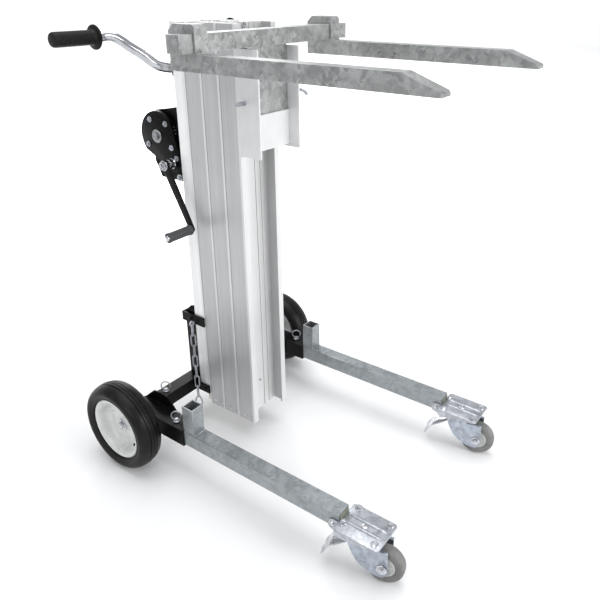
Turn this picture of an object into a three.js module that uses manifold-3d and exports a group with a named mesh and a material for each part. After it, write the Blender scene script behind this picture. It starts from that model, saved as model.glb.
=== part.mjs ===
// Compact hand-winch material lift with a four-section telescoping mast.
// Units mm, +Z up, forks point to -Y, operator stands at +Y.
// Origin: centre of the footprint on the floor.
import * as THREE from 'three';
import * as BGU from 'three/addons/utils/BufferGeometryUtils.js';
import Module from 'manifold-3d';

const wasm = await Module();
wasm.setup();

// ------------------------------------------------------------ dimensions
const Y_SHIFT = 104.5;          // moves the working frame so that the origin is centred fore and aft
const GAP = 0.3;                // running gap between touching pieces

const MAST_HW = 71;             // half width of every mast extrusion
const MAST_Z0 = 69;             // lower end of the moving extrusions
const MAST1_Z0 = 103;           // lower end of the fixed extrusion, at its clamp
const MAST_Z1 = 1156;           // upper end of the fixed section
const PITCH = 57.5;             // fore and aft spacing of the sections
const SEC_D = 56.5;             // depth of one moving section
const FLANGE_T = 8;             // side wall of an extrusion
const LIP_IN = 54;              // half opening between the front lips
const LIP_T = 5;                // lip thickness
const TONGUE_HW = 60;           // half width of the captured tongue head
const NECK_HW = 22;             // half width of the tongue neck
const WEB_D = 19.8;             // depth of the hollow web
const S1_REAR = 220, S1_FRONT = 179.8;
const S2_REAR = 178.8;          // the next two step forward by PITCH

const WHEEL_R = 125, WHEEL_W = 72, WHEEL_X = 333, AXLE_Y = 250, AXLE_Z = 125;
const AXLE_R = 10;
const DR_Y = 314, DR_Z = 864, SH_Y = 257, SH_Z = 799;      // winch drum and crank shaft
const GRIP_Y = 175, GRIP_Z = 639;                          // crank grip at rest

const LEG_X0 = 240, LEG_X1 = 280, LEG_Z0 = 108, LEG_Z1 = 148, LEG_T = 3;
const LEG_FRONT = -426, LEG_BACK = 205;
const CASTER_Y = -483, CASTER_X = 260, CASTER_R = 48.5, CASTER_AXLE_Y = -531, CASTER_W = 26;
const CASTER_YAW = 12;          // both casters stand a little swivelled, degrees about the king pin

const FORK_X0 = 217, FORK_X1 = 253, FORK_Z0 = 1072, FORK_Z1 = 1107, FORK_TIP = -589, FORK_REAR = 20;
const BAR_HALF = 290, BAR_Y0 = -50, BAR_Y1 = -14, BAR_Z0 = 1110, BAR_Z1 = 1146;

const CHAIN_X = -88, CHAIN_Y = 217.5, CHAIN_Z = 337;

// ------------------------------------------------------------ colours
const mat = (color, roughness, metalness) => new THREE.MeshStandardMaterial({ color, roughness, metalness });
const M = {
  anodised: mat(0xdfe1e3, 0.45, 0.6),
  cast_al: mat(0xeceeee, 0.5, 0.5),
  galvanised: mat(0x8f979a, 0.45, 0.7),
  zinc: mat(0xc3c8cc, 0.3, 0.8),
  chrome: mat(0xe8eaec, 0.08, 1.0),
  black: mat(0x0d0d0e, 0.25, 0.1),
  rubber: mat(0x161616, 0.8, 0.0),
  grey_rubber: mat(0x6d7074, 0.7, 0.0),
  rim: mat(0xc9cac8, 0.45, 0.1),
  steel: mat(0xa9adb0, 0.35, 0.9),
  plastic: mat(0x2a2b2d, 0.55, 0.0),
  nylon: mat(0xe7e4d8, 0.5, 0.0),
};

// ------------------------------------------------------------ solids
function strip(g) {
  let h = g.index ? g : g.clone();
  h = h.clone();
  h.deleteAttribute('normal');
  h.deleteAttribute('uv');
  return BGU.mergeVertices(h, 1e-4);
}
function solid(g) {
  const h = strip(g);
  const m = new wasm.Manifold(new wasm.Mesh({
    numProp: 3,
    vertProperties: new Float32Array(h.attributes.position.array),
    triVerts: new Uint32Array(h.index.array),
  }));
  return m;
}
function geometry(m) {
  const s = m.getMesh();
  const g = new THREE.BufferGeometry();
  const n = s.numProp, v = new Float32Array((s.vertProperties.length / n) * 3);
  for (let i = 0; i < v.length / 3; i++) for (let k = 0; k < 3; k++) v[3 * i + k] = s.vertProperties[n * i + k];
  g.setAttribute('position', new THREE.BufferAttribute(v, 3));
  g.setIndex(new THREE.BufferAttribute(new Uint32Array(s.triVerts), 1));
  const out = g.toNonIndexed();
  out.computeVertexNormals();
  return out;
}
const box = (x0, x1, y0, y1, z0, z1) =>
  solid(new THREE.BoxGeometry(x1 - x0, y1 - y0, z1 - z0).translate((x0 + x1) / 2, (y0 + y1) / 2, (z0 + z1) / 2));
function cyl(axis, r, a0, a1, c1, c2, seg = 24, r2 = r) {
  const g = new THREE.CylinderGeometry(r2, r, a1 - a0, seg);
  const mid = (a0 + a1) / 2;
  if (axis === 'x') { g.rotateZ(-Math.PI / 2); g.translate(mid, c1, c2); }
  if (axis === 'y') g.translate(c1, mid, c2);
  if (axis === 'z') { g.rotateX(Math.PI / 2); g.translate(c1, c2, mid); }
  return solid(g);
}
const join = (...a) => a.reduce((p, q) => p.add(q));
const cut = (a, ...b) => b.reduce((p, q) => p.subtract(q), a);
function outline(pts) {
  const s = new THREE.Shape();
  pts.forEach(([x, y], i) => (i ? s.lineTo(x, y) : s.moveTo(x, y)));
  s.closePath();
  return s;
}
function extrude(pts, holes, axis, a0, a1) {
  const s = outline(pts);
  for (const h of holes) {
    const p = new THREE.Path();
    h.forEach(([x, y], i) => (i ? p.lineTo(x, y) : p.moveTo(x, y)));
    p.closePath();
    s.holes.push(p);
  }
  const g = new THREE.ExtrudeGeometry(s, { depth: a1 - a0, bevelEnabled: false, steps: 1, curveSegments: 8 });
  const m = new THREE.Matrix4();
  if (axis === 'z') m.makeTranslation(0, 0, a0);
  if (axis === 'x') m.set(0, 0, 1, a0, 1, 0, 0, 0, 0, 1, 0, 0, 0, 0, 0, 1);      // profile is (y, z)
  if (axis === 'y') m.set(1, 0, 0, 0, 0, 0, -1, a1, 0, 1, 0, 0, 0, 0, 0, 1);     // profile is (x, z)
  g.applyMatrix4(m);
  return solid(g);
}
const mirrorPts = (half) => {
  const h = half.filter(([x]) => x > 1e-6);
  return h.concat(h.slice().reverse().map(([x, y]) => [-x, y]));
};
const rect = (x0, x1, y0, y1) => [[x0, y0], [x1, y0], [x1, y1], [x0, y1]];
function rounded(x0, x1, y0, y1, r, n = 4) {
  const o = [];
  for (const [cx, cy, a] of [[x1 - r, y0 + r, -90], [x1 - r, y1 - r, 0], [x0 + r, y1 - r, 90], [x0 + r, y0 + r, 180]]) {
    for (let i = 0; i <= n; i++) {
      const t = ((a + (90 * i) / n) * Math.PI) / 180;
      o.push([cx + r * Math.cos(t), cy + r * Math.sin(t)]);
    }
  }
  return o;
}
const circle = (cx, cy, r, n = 24) => Array.from({ length: n }, (_, i) => [cx + r * Math.cos((2 * Math.PI * i) / n), cy + r * Math.sin((2 * Math.PI * i) / n)]);
function lathe(profile, axis, c1, c2, seg = 32, flat = false) {
  // profile is [radius, along]; the solid turns about the given axis
  // flat: facets circumscribe the radius and one of them faces straight down
  const k = flat ? 1 / Math.cos(Math.PI / seg) : 1;
  const g = new THREE.LatheGeometry(profile.map(([r, a]) => new THREE.Vector2(r * k, a)), seg, flat ? Math.PI / seg : 0);
  const m = new THREE.Matrix4();
  if (axis === 'x') m.set(0, 1, 0, 0, 1, 0, 0, c1, 0, 0, -1, c2, 0, 0, 0, 1);
  if (axis === 'z') m.set(1, 0, 0, c1, 0, 0, -1, c2, 0, 1, 0, 0, 0, 0, 0, 1);
  g.applyMatrix4(m);
  let h = strip(g);
  // drop triangles that collapse on the axis
  const idx = h.index.array, keep = [];
  for (let i = 0; i < idx.length; i += 3) if (idx[i] !== idx[i + 1] && idx[i + 1] !== idx[i + 2] && idx[i] !== idx[i + 2]) keep.push(idx[i], idx[i + 1], idx[i + 2]);
  h.setIndex(keep);
  let s = new wasm.Manifold(new wasm.Mesh({ numProp: 3, vertProperties: new Float32Array(h.attributes.position.array), triVerts: new Uint32Array(keep) }));
  if (s.volume() < 0) {
    const fl = [];
    for (let i = 0; i < keep.length; i += 3) fl.push(keep[i], keep[i + 2], keep[i + 1]);
    s = new wasm.Manifold(new wasm.Mesh({ numProp: 3, vertProperties: new Float32Array(h.attributes.position.array), triVerts: new Uint32Array(fl) }));
  }
  return s;
}
function pipe(points, r, n = 10, steps = 40) {
  const path = new THREE.CatmullRomCurve3(points.map((p) => new THREE.Vector3(...p)), false, 'centripetal');
  return solid(new THREE.ExtrudeGeometry(outline(circle(0, 0, r, n)), { steps, extrudePath: path, bevelEnabled: false }));
}

const group = new THREE.Group();
group.name = 'material_lift';
const frame = new THREE.Group();
frame.position.set(0, Y_SHIFT, 0);
group.add(frame);
function put(name, m, material) {
  const mesh = new THREE.Mesh(geometry(m), material);
  mesh.name = name;
  frame.add(mesh);
  return mesh;
}
const sides = [['right', -1], ['left', 1]];
// a solid drawn on the +X side, mirrored for the other side
const side = (s, m) => (s > 0 ? m : m.mirror([1, 0, 0]));
// turns a placed solid about the king pin of its caster
const yaw = (s, m) => m.translate([-s * CASTER_X, -CASTER_Y, 0]).rotate([0, 0, CASTER_YAW]).translate([s * CASTER_X, CASTER_Y, 0]);

// ------------------------------------------------------------ base
const CB = 20;                                       // crossbeam half height
put('axle_crossbeam', cut(
  box(-232, 232, AXLE_Y - CB, AXLE_Y + CB, AXLE_Z - CB, AXLE_Z + CB),
  box(-240, 240, AXLE_Y - CB + 4, AXLE_Y + CB - 4, AXLE_Z - CB + 4, AXLE_Z + CB - 4),
  cyl('z', 4.4, AXLE_Z + 5, AXLE_Z + 30, 179, AXLE_Y, 16), cyl('z', 4.4, AXLE_Z + 5, AXLE_Z + 30, -179, AXLE_Y, 16)), M.black);
put('rear_axle', join(cyl('x', AXLE_R, -341, 341, AXLE_Y, AXLE_Z, 24),
  cyl('x', 15, 337.6, 347, AXLE_Y, AXLE_Z, 16), cyl('x', 15, -347, -337.6, AXLE_Y, AXLE_Z, 16)), M.chrome);

// post behind the mast: a channel open to the rear, with rounded upper corners
{
  const z1 = 386, z0 = AXLE_Z + CB + GAP, w = 68;
  let p = cut(box(-w, w, S1_REAR + GAP, 262, z0, z1), box(-w + 6, w - 6, S1_REAR + 7, 270, z0 - 5, z1 + 5));
  const corner = (s) => cut(box(s > 0 ? w - 24 : -w - 5, s > 0 ? w + 5 : -w + 24, 210, 270, z1 - 24, z1 + 5), cyl('y', 24, 205, 275, s * (w - 24), z1 - 24, 32));
  p = cut(p, corner(1), corner(-1));
  // corners at the rear edge of the cheeks slope down
  const slope = extrude([[236, z1 + 5], [275, z1 + 5], [275, z1 - 60]], [], 'x', -90, 90);
  put('mast_post', cut(p, slope), M.black);
}
// clamps that hold the fixed section to the post
const eye = solid(new THREE.TorusGeometry(7, 2, 5, 12).rotateX(Math.PI / 2).translate(CHAIN_X, CHAIN_Y, CHAIN_Z));   // welded eye for the chain
for (const [nm, z0, z1] of [['upper_mast_clamp', 330, 358], ['lower_mast_clamp', 103, 129]]) {
  const yb = nm === 'upper_mast_clamp' ? 267.5 : AXLE_Y - CB - GAP;
  if (nm === 'upper_mast_clamp') {
    // strap around the section and the post, closed at the back
    put(nm, join(
      box(MAST_HW + 1.5, MAST_HW + 6, 180.5, yb, z0, z1), box(-MAST_HW - 6, -MAST_HW - 1.5, 180.5, yb, z0, z1),
      box(-MAST_HW - 6, MAST_HW + 6, yb - 5, yb, z0, z1),
      eye, cyl('x', 3, CHAIN_X + 5.5, -MAST_HW - 4, CHAIN_Y, CHAIN_Z, 10)), M.black);
  } else {
    // angle plates joined by a plate between the mast and the crossbeam
    put(nm, join(
      box(MAST_HW + 1.5, MAST_HW + 6, 180.5, yb, z0, z1), box(-MAST_HW - 6, -MAST_HW - 1.5, 180.5, yb, z0, z1),
      box(-MAST_HW - 6, MAST_HW + 6, S1_REAR + 1, yb, z0, z1)), M.black);
  }
}

for (const [nm, s] of sides) {
  // sleeve that receives the leg, with its gusset and the boss on the axle
  const wall = 4, x0 = LEG_X0 - GAP - wall, x1 = LEG_X1 + GAP + wall, z0 = LEG_Z0 - GAP - wall, z1 = LEG_Z1 + GAP + wall;
  let sl = join(
    cut(box(x0, x1, 68, 272, z0, z1), box(LEG_X0 - GAP, LEG_X1 + GAP, 60, 208, LEG_Z0 - GAP, LEG_Z1 + GAP),
      box(LEG_X0 - GAP, LEG_X1 + GAP, 212, 268, LEG_Z0 - GAP, LEG_Z1 + GAP)),
    // gusset plate beside the inner wall
    extrude([[140, 148], [176, 186], [206, 190], [232, 186], [272, 150], [272, 104], [140, 104]], [], 'x', x0 - 3.4, x0 + 0.5));
  sl = cut(sl, cyl('x', AXLE_R + GAP, 225, 300, AXLE_Y, AXLE_Z, 24), cyl('z', 5.2, LEG_Z1 - 10, LEG_Z1 + 20, 263, 113, 16),
    cyl('z', 5.2, z0 - 10, LEG_Z0 + 20, 263, 113, 16));
  put(`${nm}_side_sleeve`, side(s, sl), M.black);
  // leg: square tube with an upright stub just ahead of the sleeve
  let leg = cut(join(box(LEG_X0, LEG_X1, LEG_FRONT, LEG_BACK, LEG_Z0, LEG_Z1), box(LEG_X0 + 1, LEG_X1 - 1, 30, 67.5, LEG_Z1 - 1, 228)),
    box(LEG_X0 + LEG_T, LEG_X1 - LEG_T, LEG_FRONT + 3, LEG_BACK + 10, LEG_Z0 + LEG_T, LEG_Z1 - LEG_T),
    box(LEG_X0 + 1 + LEG_T, LEG_X1 - 1 - LEG_T, 30 + LEG_T, 67.5 - LEG_T, LEG_Z1 - 5, 240),
    cyl('z', 5.2, LEG_Z0 - 10, LEG_Z1 + 20, 263, 113, 16));
  put(`${nm}_leg`, side(s, leg), M.galvanised);
  // locking pin of the leg: stem, head and a standing pull ring
  const ring = (cx, cy, cz, R, r) => {
    const g = new THREE.TorusGeometry(R, r, 5, 14);
    g.rotateY(Math.PI / 2);
    g.translate(cx, cy, cz);
    return solid(g);
  };
  put(`${nm}_leg_pin`, side(s, join(
    cyl('z', 4.8, z0 - 6, z1 + 1, 263, 113, 12), cyl('z', 8, z1 + GAP, z1 + 6, 263, 113, 12), ring(263, 113, z1 + 18, 13.5, 2))), M.zinc);
  put(`${nm}_axle_pin`, side(s, join(
    cyl('z', 4, AXLE_Z + AXLE_R + 1, AXLE_Z + CB + 1, 179, AXLE_Y, 12), cyl('z', 8, AXLE_Z + CB + GAP, AXLE_Z + CB + 5, 179, AXLE_Y, 12),
    ring(179, AXLE_Y, AXLE_Z + CB + 17, 13.5, 2))), M.zinc);
}

// ------------------------------------------------------------ rear wheels
for (const [nm, s] of sides) {
  const h = WHEEL_W / 2, c = WHEEL_X;
  // tyre: fat round section with circumferential ribs, seat on the rim
  const tp = [[87.4, -24], [103, -36], [113, -36], [122, -28], [125, -12], [125, 12], [122, 28], [113, 36], [103, 36], [87.4, 24], [87.4, -24]];
  put(`${nm}_tyre`, lathe(tp.map(([r, a]) => [r, s * c + a]), 'x', AXLE_Y, AXLE_Z, 36, true), M.rubber);
  // rim: two lips, a dished disc and a hub bored for the axle
  const rp = [[10.4, -38], [18, -38], [21, -9], [58, -9], [78, -24], [87, -24], [87, 24], [80, 24], [64, -3], [24, -3], [18, 4], [10.4, 4], [10.4, -38]];
  // drawn so that +along is the outer side
  put(`${nm}_rim`, lathe(rp.map(([r, a]) => [r, s * (c + a)]), 'x', AXLE_Y, AXLE_Z, 28), M.rim);
}

// ------------------------------------------------------------ front casters
for (const [nm, s] of sides) {
  const cx = CASTER_X;
  // bracket: channel over the end of the leg, ribbed plate, swivel race below
  const bz1 = 133, bx0 = 215, bx1 = 305;
  let b = join(
    box(bx0, bx1, -541, -426 - GAP, bz1 - 5, bz1),
    extrude([[-430, 128], [-462, 128], [-452, 104], [-400, 104], [-400, 148], [-430, 148]], [], 'x', LEG_X1 + GAP, LEG_X1 + 5),
    extrude([[-430, 128], [-462, 128], [-452, 104], [-400, 104], [-400, 148], [-430, 148]], [], 'x', LEG_X0 - 5, LEG_X0 - GAP),
    box(LEG_X0 - 5, LEG_X1 + 5, -430.5, -426 - GAP, 104, 133),
    box(bx0 + 2, bx1 - 2, -436, -430, bz1 - 14, bz1 - 4),
    extrude([[cx - 16, bz1 - 1], [cx - 7, bz1 - 1], [cx - 8.5, bz1 + 3], [cx - 14.5, bz1 + 3]], [], 'y', -528, -440),
    extrude([[cx + 7, bz1 - 1], [cx + 16, bz1 - 1], [cx + 14.5, bz1 + 3], [cx + 8.5, bz1 + 3]], [], 'y', -528, -440),
    cyl('z', 27, 121, 129, cx, CASTER_Y, 24),
    cyl('z', 6, 112, 129, cx, CASTER_Y, 16));
  put(`${nm}_caster_bracket`, side(s, b), M.zinc);
  // swivelling fork with its wheel axle
  const fz = 120.6, ay = CASTER_AXLE_Y, az = CASTER_R;
  let f = join(
    cut(cyl('z', 27, 111, fz, cx, CASTER_Y, 24), cyl('z', 6.4, 105, 125, cx, CASTER_Y, 16)),
    ...[1, -1].map((t) => extrude([[CASTER_Y + 16, 114], [CASTER_Y + 18, 102], [CASTER_Y + 37, 100.5], [CASTER_Y + 34, 84], [CASTER_Y + 26, 66], [CASTER_Y + 15, 50], [CASTER_Y + 2, 38], [CASTER_Y - 12, 30], [CASTER_Y - 26, 26], [ay + 2, az - 24], [ay - 8, az - 20], [ay - 12, az - 6], [ay - 13, az + 6], [ay - 12, 101], [CASTER_Y - 18, 102], [CASTER_Y - 16, 114]], [], 'x', cx + (t > 0 ? 16 : -20), cx + (t > 0 ? 20 : -16))),
    box(cx - 20, cx + 20, CASTER_Y - 17, CASTER_Y + 17, 110, 114.5),
    cyl('x', 5, cx - 24, cx + 24, ay, az, 16));
  f = cut(f, cyl('z', 6.4, 105, 125, cx, CASTER_Y, 16));
  put(`${nm}_caster_fork`, yaw(s, side(s, f)), M.zinc);
  const R = CASTER_R, wp = [[5.4, -14], [14, -14], [33, -10], [R - 6, -13], [R, -8], [R, 8], [R - 6, 13], [33, 10], [14, 14], [5.4, 14], [5.4, -14]];
  put(`${nm}_caster_wheel`, yaw(s, lathe(wp.map(([r, a]) => [r, s * cx + a]), 'x', ay, az, 24, true)), M.grey_rubber);
  // brake pedal: lever on a pin across the rear of the fork
  const py = CASTER_Y + 8, pz = 96;
  let pd = join(
    extrude([[py - 6, pz + 4], [py + 8, pz + 5], [py + 44, pz - 22], [py + 82, pz - 28], [py + 82, pz - 32], [py + 40, pz - 28], [py - 2, pz - 7], [py - 7, pz - 3]], [], 'x', cx - 15.6, cx + 15.6),
    box(cx - 25, cx + 25, py + 48, py + 82, pz - 29.5, pz - 26),
    cyl('x', 4, cx - 15.6, cx + 15.6, py, pz, 12));
  put(`${nm}_brake_pedal`, yaw(s, side(s, pd)), M.steel);
}

// ------------------------------------------------------------ mast
function movingSection(yr, zTop) {
  const yf = yr - SEC_D, yw = yr - WEB_D, hw = MAST_HW;
  const half = [
    [0, yr + 17], [TONGUE_HW, yr + 17], [TONGUE_HW, yr + 7], [NECK_HW, yr + 7], [NECK_HW, yr], [hw, yr],
    [hw, yf + 7], [hw + 1, yf + 6.5], [hw + 1, yf], [LIP_IN, yf], [LIP_IN, yf + LIP_T], [hw - FLANGE_T, yf + LIP_T],
    [hw - FLANGE_T, yw], [40, yw], [40, yw - 2], [36, yw - 2], [36, yw], [20, yw], [20, yw - 2], [16, yw - 2], [16, yw], [0, yw],
  ];
  const cell = (x0, x1) => box(x0, x1, yr - 17, yr - 3, MAST_Z0 - 1, zTop + 1);
  let m = cut(extrude(mirrorPts(half), [], 'z', MAST_Z0, zTop), cell(-18, 18), cell(22, 59), cell(-59, -22));
  const cy = yr - 9.8, cz = zTop - 24;
  m = cut(m,
    box(-8, 8, yr - 26, yr + 20, zTop - 50, zTop + 1),              // notch for the sheave
    box(-26, 26, cy - 4.3, cy + 4.3, cz - 4.3, zTop + 1),           // seats for its axle
    box(-hw - 5, hw + 5, yr + 0.15, yr + 30, MAST_Z0 - 1, 130.3));  // tongue stops above the slide shoe
  return m;
}
const yrs = [S2_REAR, S2_REAR - PITCH, S2_REAR - 2 * PITCH];
{
  const half = [[0, S1_REAR], [MAST_HW, S1_REAR], [MAST_HW, S1_FRONT + 7], [MAST_HW + 1, S1_FRONT + 6.5], [MAST_HW + 1, S1_FRONT], [LIP_IN, S1_FRONT], [LIP_IN, S1_FRONT + LIP_T],
    [MAST_HW - FLANGE_T, S1_FRONT + LIP_T], [MAST_HW - FLANGE_T, S1_REAR - 12], [0, S1_REAR - 12]];
  let m = extrude(mirrorPts(half), [], 'z', MAST1_Z0, MAST_Z1);
  m = cut(m, box(-9, 9, S1_REAR - 15, S1_REAR + 1, MAST_Z1 - 72, MAST_Z1 + 1));
  put('mast_section_1', m, M.anodised);
}
yrs.forEach((yr, i) => put(`mast_section_${i + 2}`, movingSection(yr, MAST_Z1), M.anodised));
// nylon slide shoe at the foot of each moving section, running behind the lips of the one before it
yrs.forEach((yr, i) => {
  put(`slide_shoe_${i + 2}`, join(box(-62.5, 62.5, yr + 6.4, yr + 20, MAST_Z0 + 1, 130), box(-53, 53, yr + GAP + 0.15, yr + 7, MAST_Z0 + 1, 130)), M.nylon);
});
// sheaves: groove, hub and their own short axle
function sheave(cy, cz, R, w) {
  return join(
    lathe([[0, -w], [R, -w], [R, -w + 1.2], [R - 6, -1.6], [R - 6, 1.6], [R, w - 1.2], [R, w], [0, w]], 'x', cy, cz, 16),
    cyl('x', 4, -23.5, 23.5, cy, cz, 10));
}
const S1_SH_Y = 232, S1_SH_Z = 1118;
put('top_sheave_1', sheave(S1_SH_Y, S1_SH_Z, 34, 7), M.steel);
yrs.forEach((yr, i) => put(`top_sheave_${i + 2}`, sheave(yr - 9.8, MAST_Z1 - 24, 18, 6), M.steel));
// cheeks that carry the rear sheave on the back of the fixed section
put('rear_sheave_bracket', cut(
  join(box(-24, -10, S1_REAR + GAP, 246, 1090, 1140), box(10, 24, S1_REAR + GAP, 246, 1090, 1140), box(-24, 24, S1_REAR + GAP, S1_REAR + 5, 1070, 1082), box(-24, -10, S1_REAR + GAP, S1_REAR + 5, 1070, 1092), box(10, 24, S1_REAR + GAP, S1_REAR + 5, 1070, 1092)),
  cyl('x', 4.4, -30, 30, S1_SH_Y, S1_SH_Z, 16)), M.steel);

// hoist cables: one run below each sheave
const CR = 2.4;
{
  // rear run from the sheave to the drum
  const y0 = S1_SH_Y + 30.6, z0 = S1_SH_Z - 4, y1 = DR_Y - 35, z1 = 885;
  const g = new THREE.CylinderGeometry(CR, CR, Math.hypot(y1 - y0, z1 - z0), 8);
  g.rotateX(Math.atan2(z1 - z0, y1 - y0));
  g.translate(0, (y0 + y1) / 2 + 1.5, (z0 + z1) / 2);
  put('hoist_cable_winch', solid(g), M.steel);
}
put('hoist_cable_1', cyl('z', CR, 130.6, S1_SH_Z - 8, 0, 201.4 - 0.6, 8), M.steel);
yrs.forEach((yr, i) => {
  const low = i === 2 ? 1025.6 : 130.6;
  put(`hoist_cable_${i + 2}`, cyl('z', CR, low, MAST_Z1 - 24 - 5, 0, yr - 9.8 - 14.9, 8), M.steel);
});

// ------------------------------------------------------------ handlebar
const BAR = [[0, 243, 1044], [57, 243, 1044], [80, 246, 1048.5], [98, 250, 1055], [117, 258, 1071], [134, 266.5, 1086], [150, 275, 1098], [166, 285, 1113], [183, 293, 1123.5], [201, 299, 1125.5], [212, 300, 1124], [217, 300, 1124], [223, 300, 1124], [250, 300, 1124], [300, 300, 1124], [329, 300, 1124]];
{
  const pts = BAR.slice(1).reverse().map(([x, y, z]) => [-x, y, z]).concat([[-30, 243, 1044]], [BAR[0]], [[30, 243, 1044]], BAR.slice(1));
  put('handlebar', pipe(pts, 12.5, 8, 44), M.chrome);
}
put('handlebar_bracket', cut(
  join(box(-46, 46, S1_REAR + GAP, S1_REAR + 5, 1020, 1068),
    ...[-1, 1].map((t) => extrude([[S1_REAR + 4, 1020], [258, 1026], [262, 1034], [262, 1054], [258, 1062], [S1_REAR + 4, 1068]], [], 'x', t > 0 ? 30 : -42, t > 0 ? 42 : -30))),
  cyl('x', 13.6, -60, 60, 243, 1044, 24)), M.black);
for (const [nm, s] of sides) {
  const gy = 300, gz = 1124, prof = [[12.9, 224], [28, 224], [28, 229], [16.5, 232], [16.5, 332], [13, 335.5], [0, 335.5], [0, 331], [12.9, 331], [12.9, 224]];
  put(`${nm}_grip`, lathe(prof.map(([r, a]) => [r, s * a]), 'x', gy, gz, 16), M.rubber);
}

// ------------------------------------------------------------ winch
put('winch_plate', join(
  box(-56, 56, S1_REAR + GAP, S1_REAR + 6, 742, 950),
  cut(extrude([[S1_REAR + 5, 746], [330, 746], [352, 790], [352, 900], [330, 930], [S1_REAR + 5, 948]], [], 'x', 42, 46),
    cyl('x', 7.3, 30, 60, DR_Y, DR_Z, 20), cyl('x', 6.3, 30, 60, SH_Y, SH_Z, 20)),
  cut(extrude([[S1_REAR + 5, 746], [330, 746], [352, 790], [352, 900], [330, 930], [S1_REAR + 5, 948]], [], 'x', -46, -42),
    cyl('x', 7.3, -60, -30, DR_Y, DR_Z, 20), cyl('x', 6.3, -60, -30, SH_Y, SH_Z, 20))), M.black);
// round cover over the drum, open towards the mast for the cable
{
  let c = cut(cyl('x', 66, -40, 40, DR_Y, DR_Z, 40), cyl('x', 62.5, -38, 38, DR_Y, DR_Z, 40),
    box(-60, 60, 200, 292, 800, 960), box(-60, 60, 200, 400, 780, 812));
  put('winch_drum_cover', cut(c, cyl('x', 7.3, -60, 60, DR_Y, DR_Z, 20)), M.black);
}
// gear cover on the right cheek over the pinion and the drum gear
{
  const L = Math.hypot(DR_Y - SH_Y, DR_Z - SH_Z), ny = -(DR_Z - SH_Z) / L, nz = (DR_Y - SH_Y) / L;
  const hull = (r1, r2) => [[SH_Y + ny * r1, SH_Z + nz * r1], [SH_Y - ny * r1, SH_Z - nz * r1], [DR_Y - ny * r2, DR_Z - nz * r2], [DR_Y + ny * r2, DR_Z + nz * r2]];
  let g = join(cyl('x', 66, -62, -46 - GAP, DR_Y, DR_Z, 36), cyl('x', 28, -62, -46 - GAP, SH_Y, SH_Z, 24), extrude(hull(28, 62), [], 'x', -62, -46 - GAP),
    box(-62, -46 - GAP, 232, 300, 752, 790));
  g = cut(g, cyl('x', 63, -59.5, -40, DR_Y, DR_Z, 36), cyl('x', 25, -59.5, -40, SH_Y, SH_Z, 20), cyl('x', 8, -70, -40, SH_Y, SH_Z, 16), cyl('x', 9, -70, -40, DR_Y, DR_Z, 16));
  put('winch_gear_cover', g, M.black);
}
// drum with flanges, its big gear and its shaft
{
  const teeth = (R, r, n) => {
    const o = [];
    for (let i = 0; i < n; i++) for (const [f, q] of [[0, r], [0.3, r], [0.42, R], [0.88, R]]) {
      const a = (2 * Math.PI * (i + f)) / n;
      o.push([q * Math.cos(a), q * Math.sin(a)]);
    }
    return o;
  };
  const drum = join(
    lathe([[0, -37], [54, -37], [54, -34], [32, -33], [32, 33], [54, 34], [54, 37], [0, 37]], 'x', DR_Y, DR_Z, 24),
    cyl('x', 7, -66, 52, DR_Y, DR_Z, 16),
    extrude(teeth(61.9, 58, 44).map(([y, z]) => [y + DR_Y, z + DR_Z]), [], 'x', -54, -48));
  put('cable_drum', drum, M.steel);
  // crank shaft with its pinion, turning beside the gear, and the drive hexagon and end nut for the crank
  const crank = join(
    cyl('x', 6, -108, 50, SH_Y, SH_Z, 16),
    extrude(teeth(24.1, 20.5, 17).map(([y, z]) => [y + SH_Y, z + SH_Z]), [], 'x', -54, -48),
    cyl('x', 12, -89, -66, SH_Y, SH_Z, 6),
    cyl('x', 10.5, -106, -98.4, SH_Y, SH_Z, 6));
  put('crank_shaft', crank, M.chrome);
}
{
  // crank arm from the shaft down to its grip
  const ex = GRIP_Y, ez = GRIP_Z, dy = ex - SH_Y, dz = ez - SH_Z, L = Math.hypot(dy, dz), uy = dy / L, uz = dz / L, w = 9;
  const pts = [];
  for (let a = 90; a <= 270; a += 22.5) { const t = (a * Math.PI) / 180; pts.push([SH_Y + uy * 13 * Math.cos(t) - uz * 13 * Math.sin(t), SH_Z + uz * 13 * Math.cos(t) + uy * 13 * Math.sin(t)]); }
  for (let a = -90; a <= 90; a += 22.5) { const t = (a * Math.PI) / 180; pts.push([ex + uy * w * Math.cos(t) - uz * w * Math.sin(t), ez + uz * w * Math.cos(t) + uy * w * Math.sin(t)]); }
  // arm, with the riveted pin that carries the grip
  put('crank_arm', join(cut(extrude(pts, [], 'x', -98, -91.5), cyl('x', 6.3, -120, -80, SH_Y, SH_Z, 20)),
    cyl('x', 4, -180, -90, ex, ez, 16), cyl('x', 7, -183, -179.6, ex, ez, 16)), M.black);
  put('crank_grip', lathe([[4.4, -179], [11, -179], [13.5, -174], [12.2, -135], [14, -103], [12, -99.5], [4.4, -99.5], [4.4, -179]], 'x', ex, ez, 14), M.plastic);
}

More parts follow.
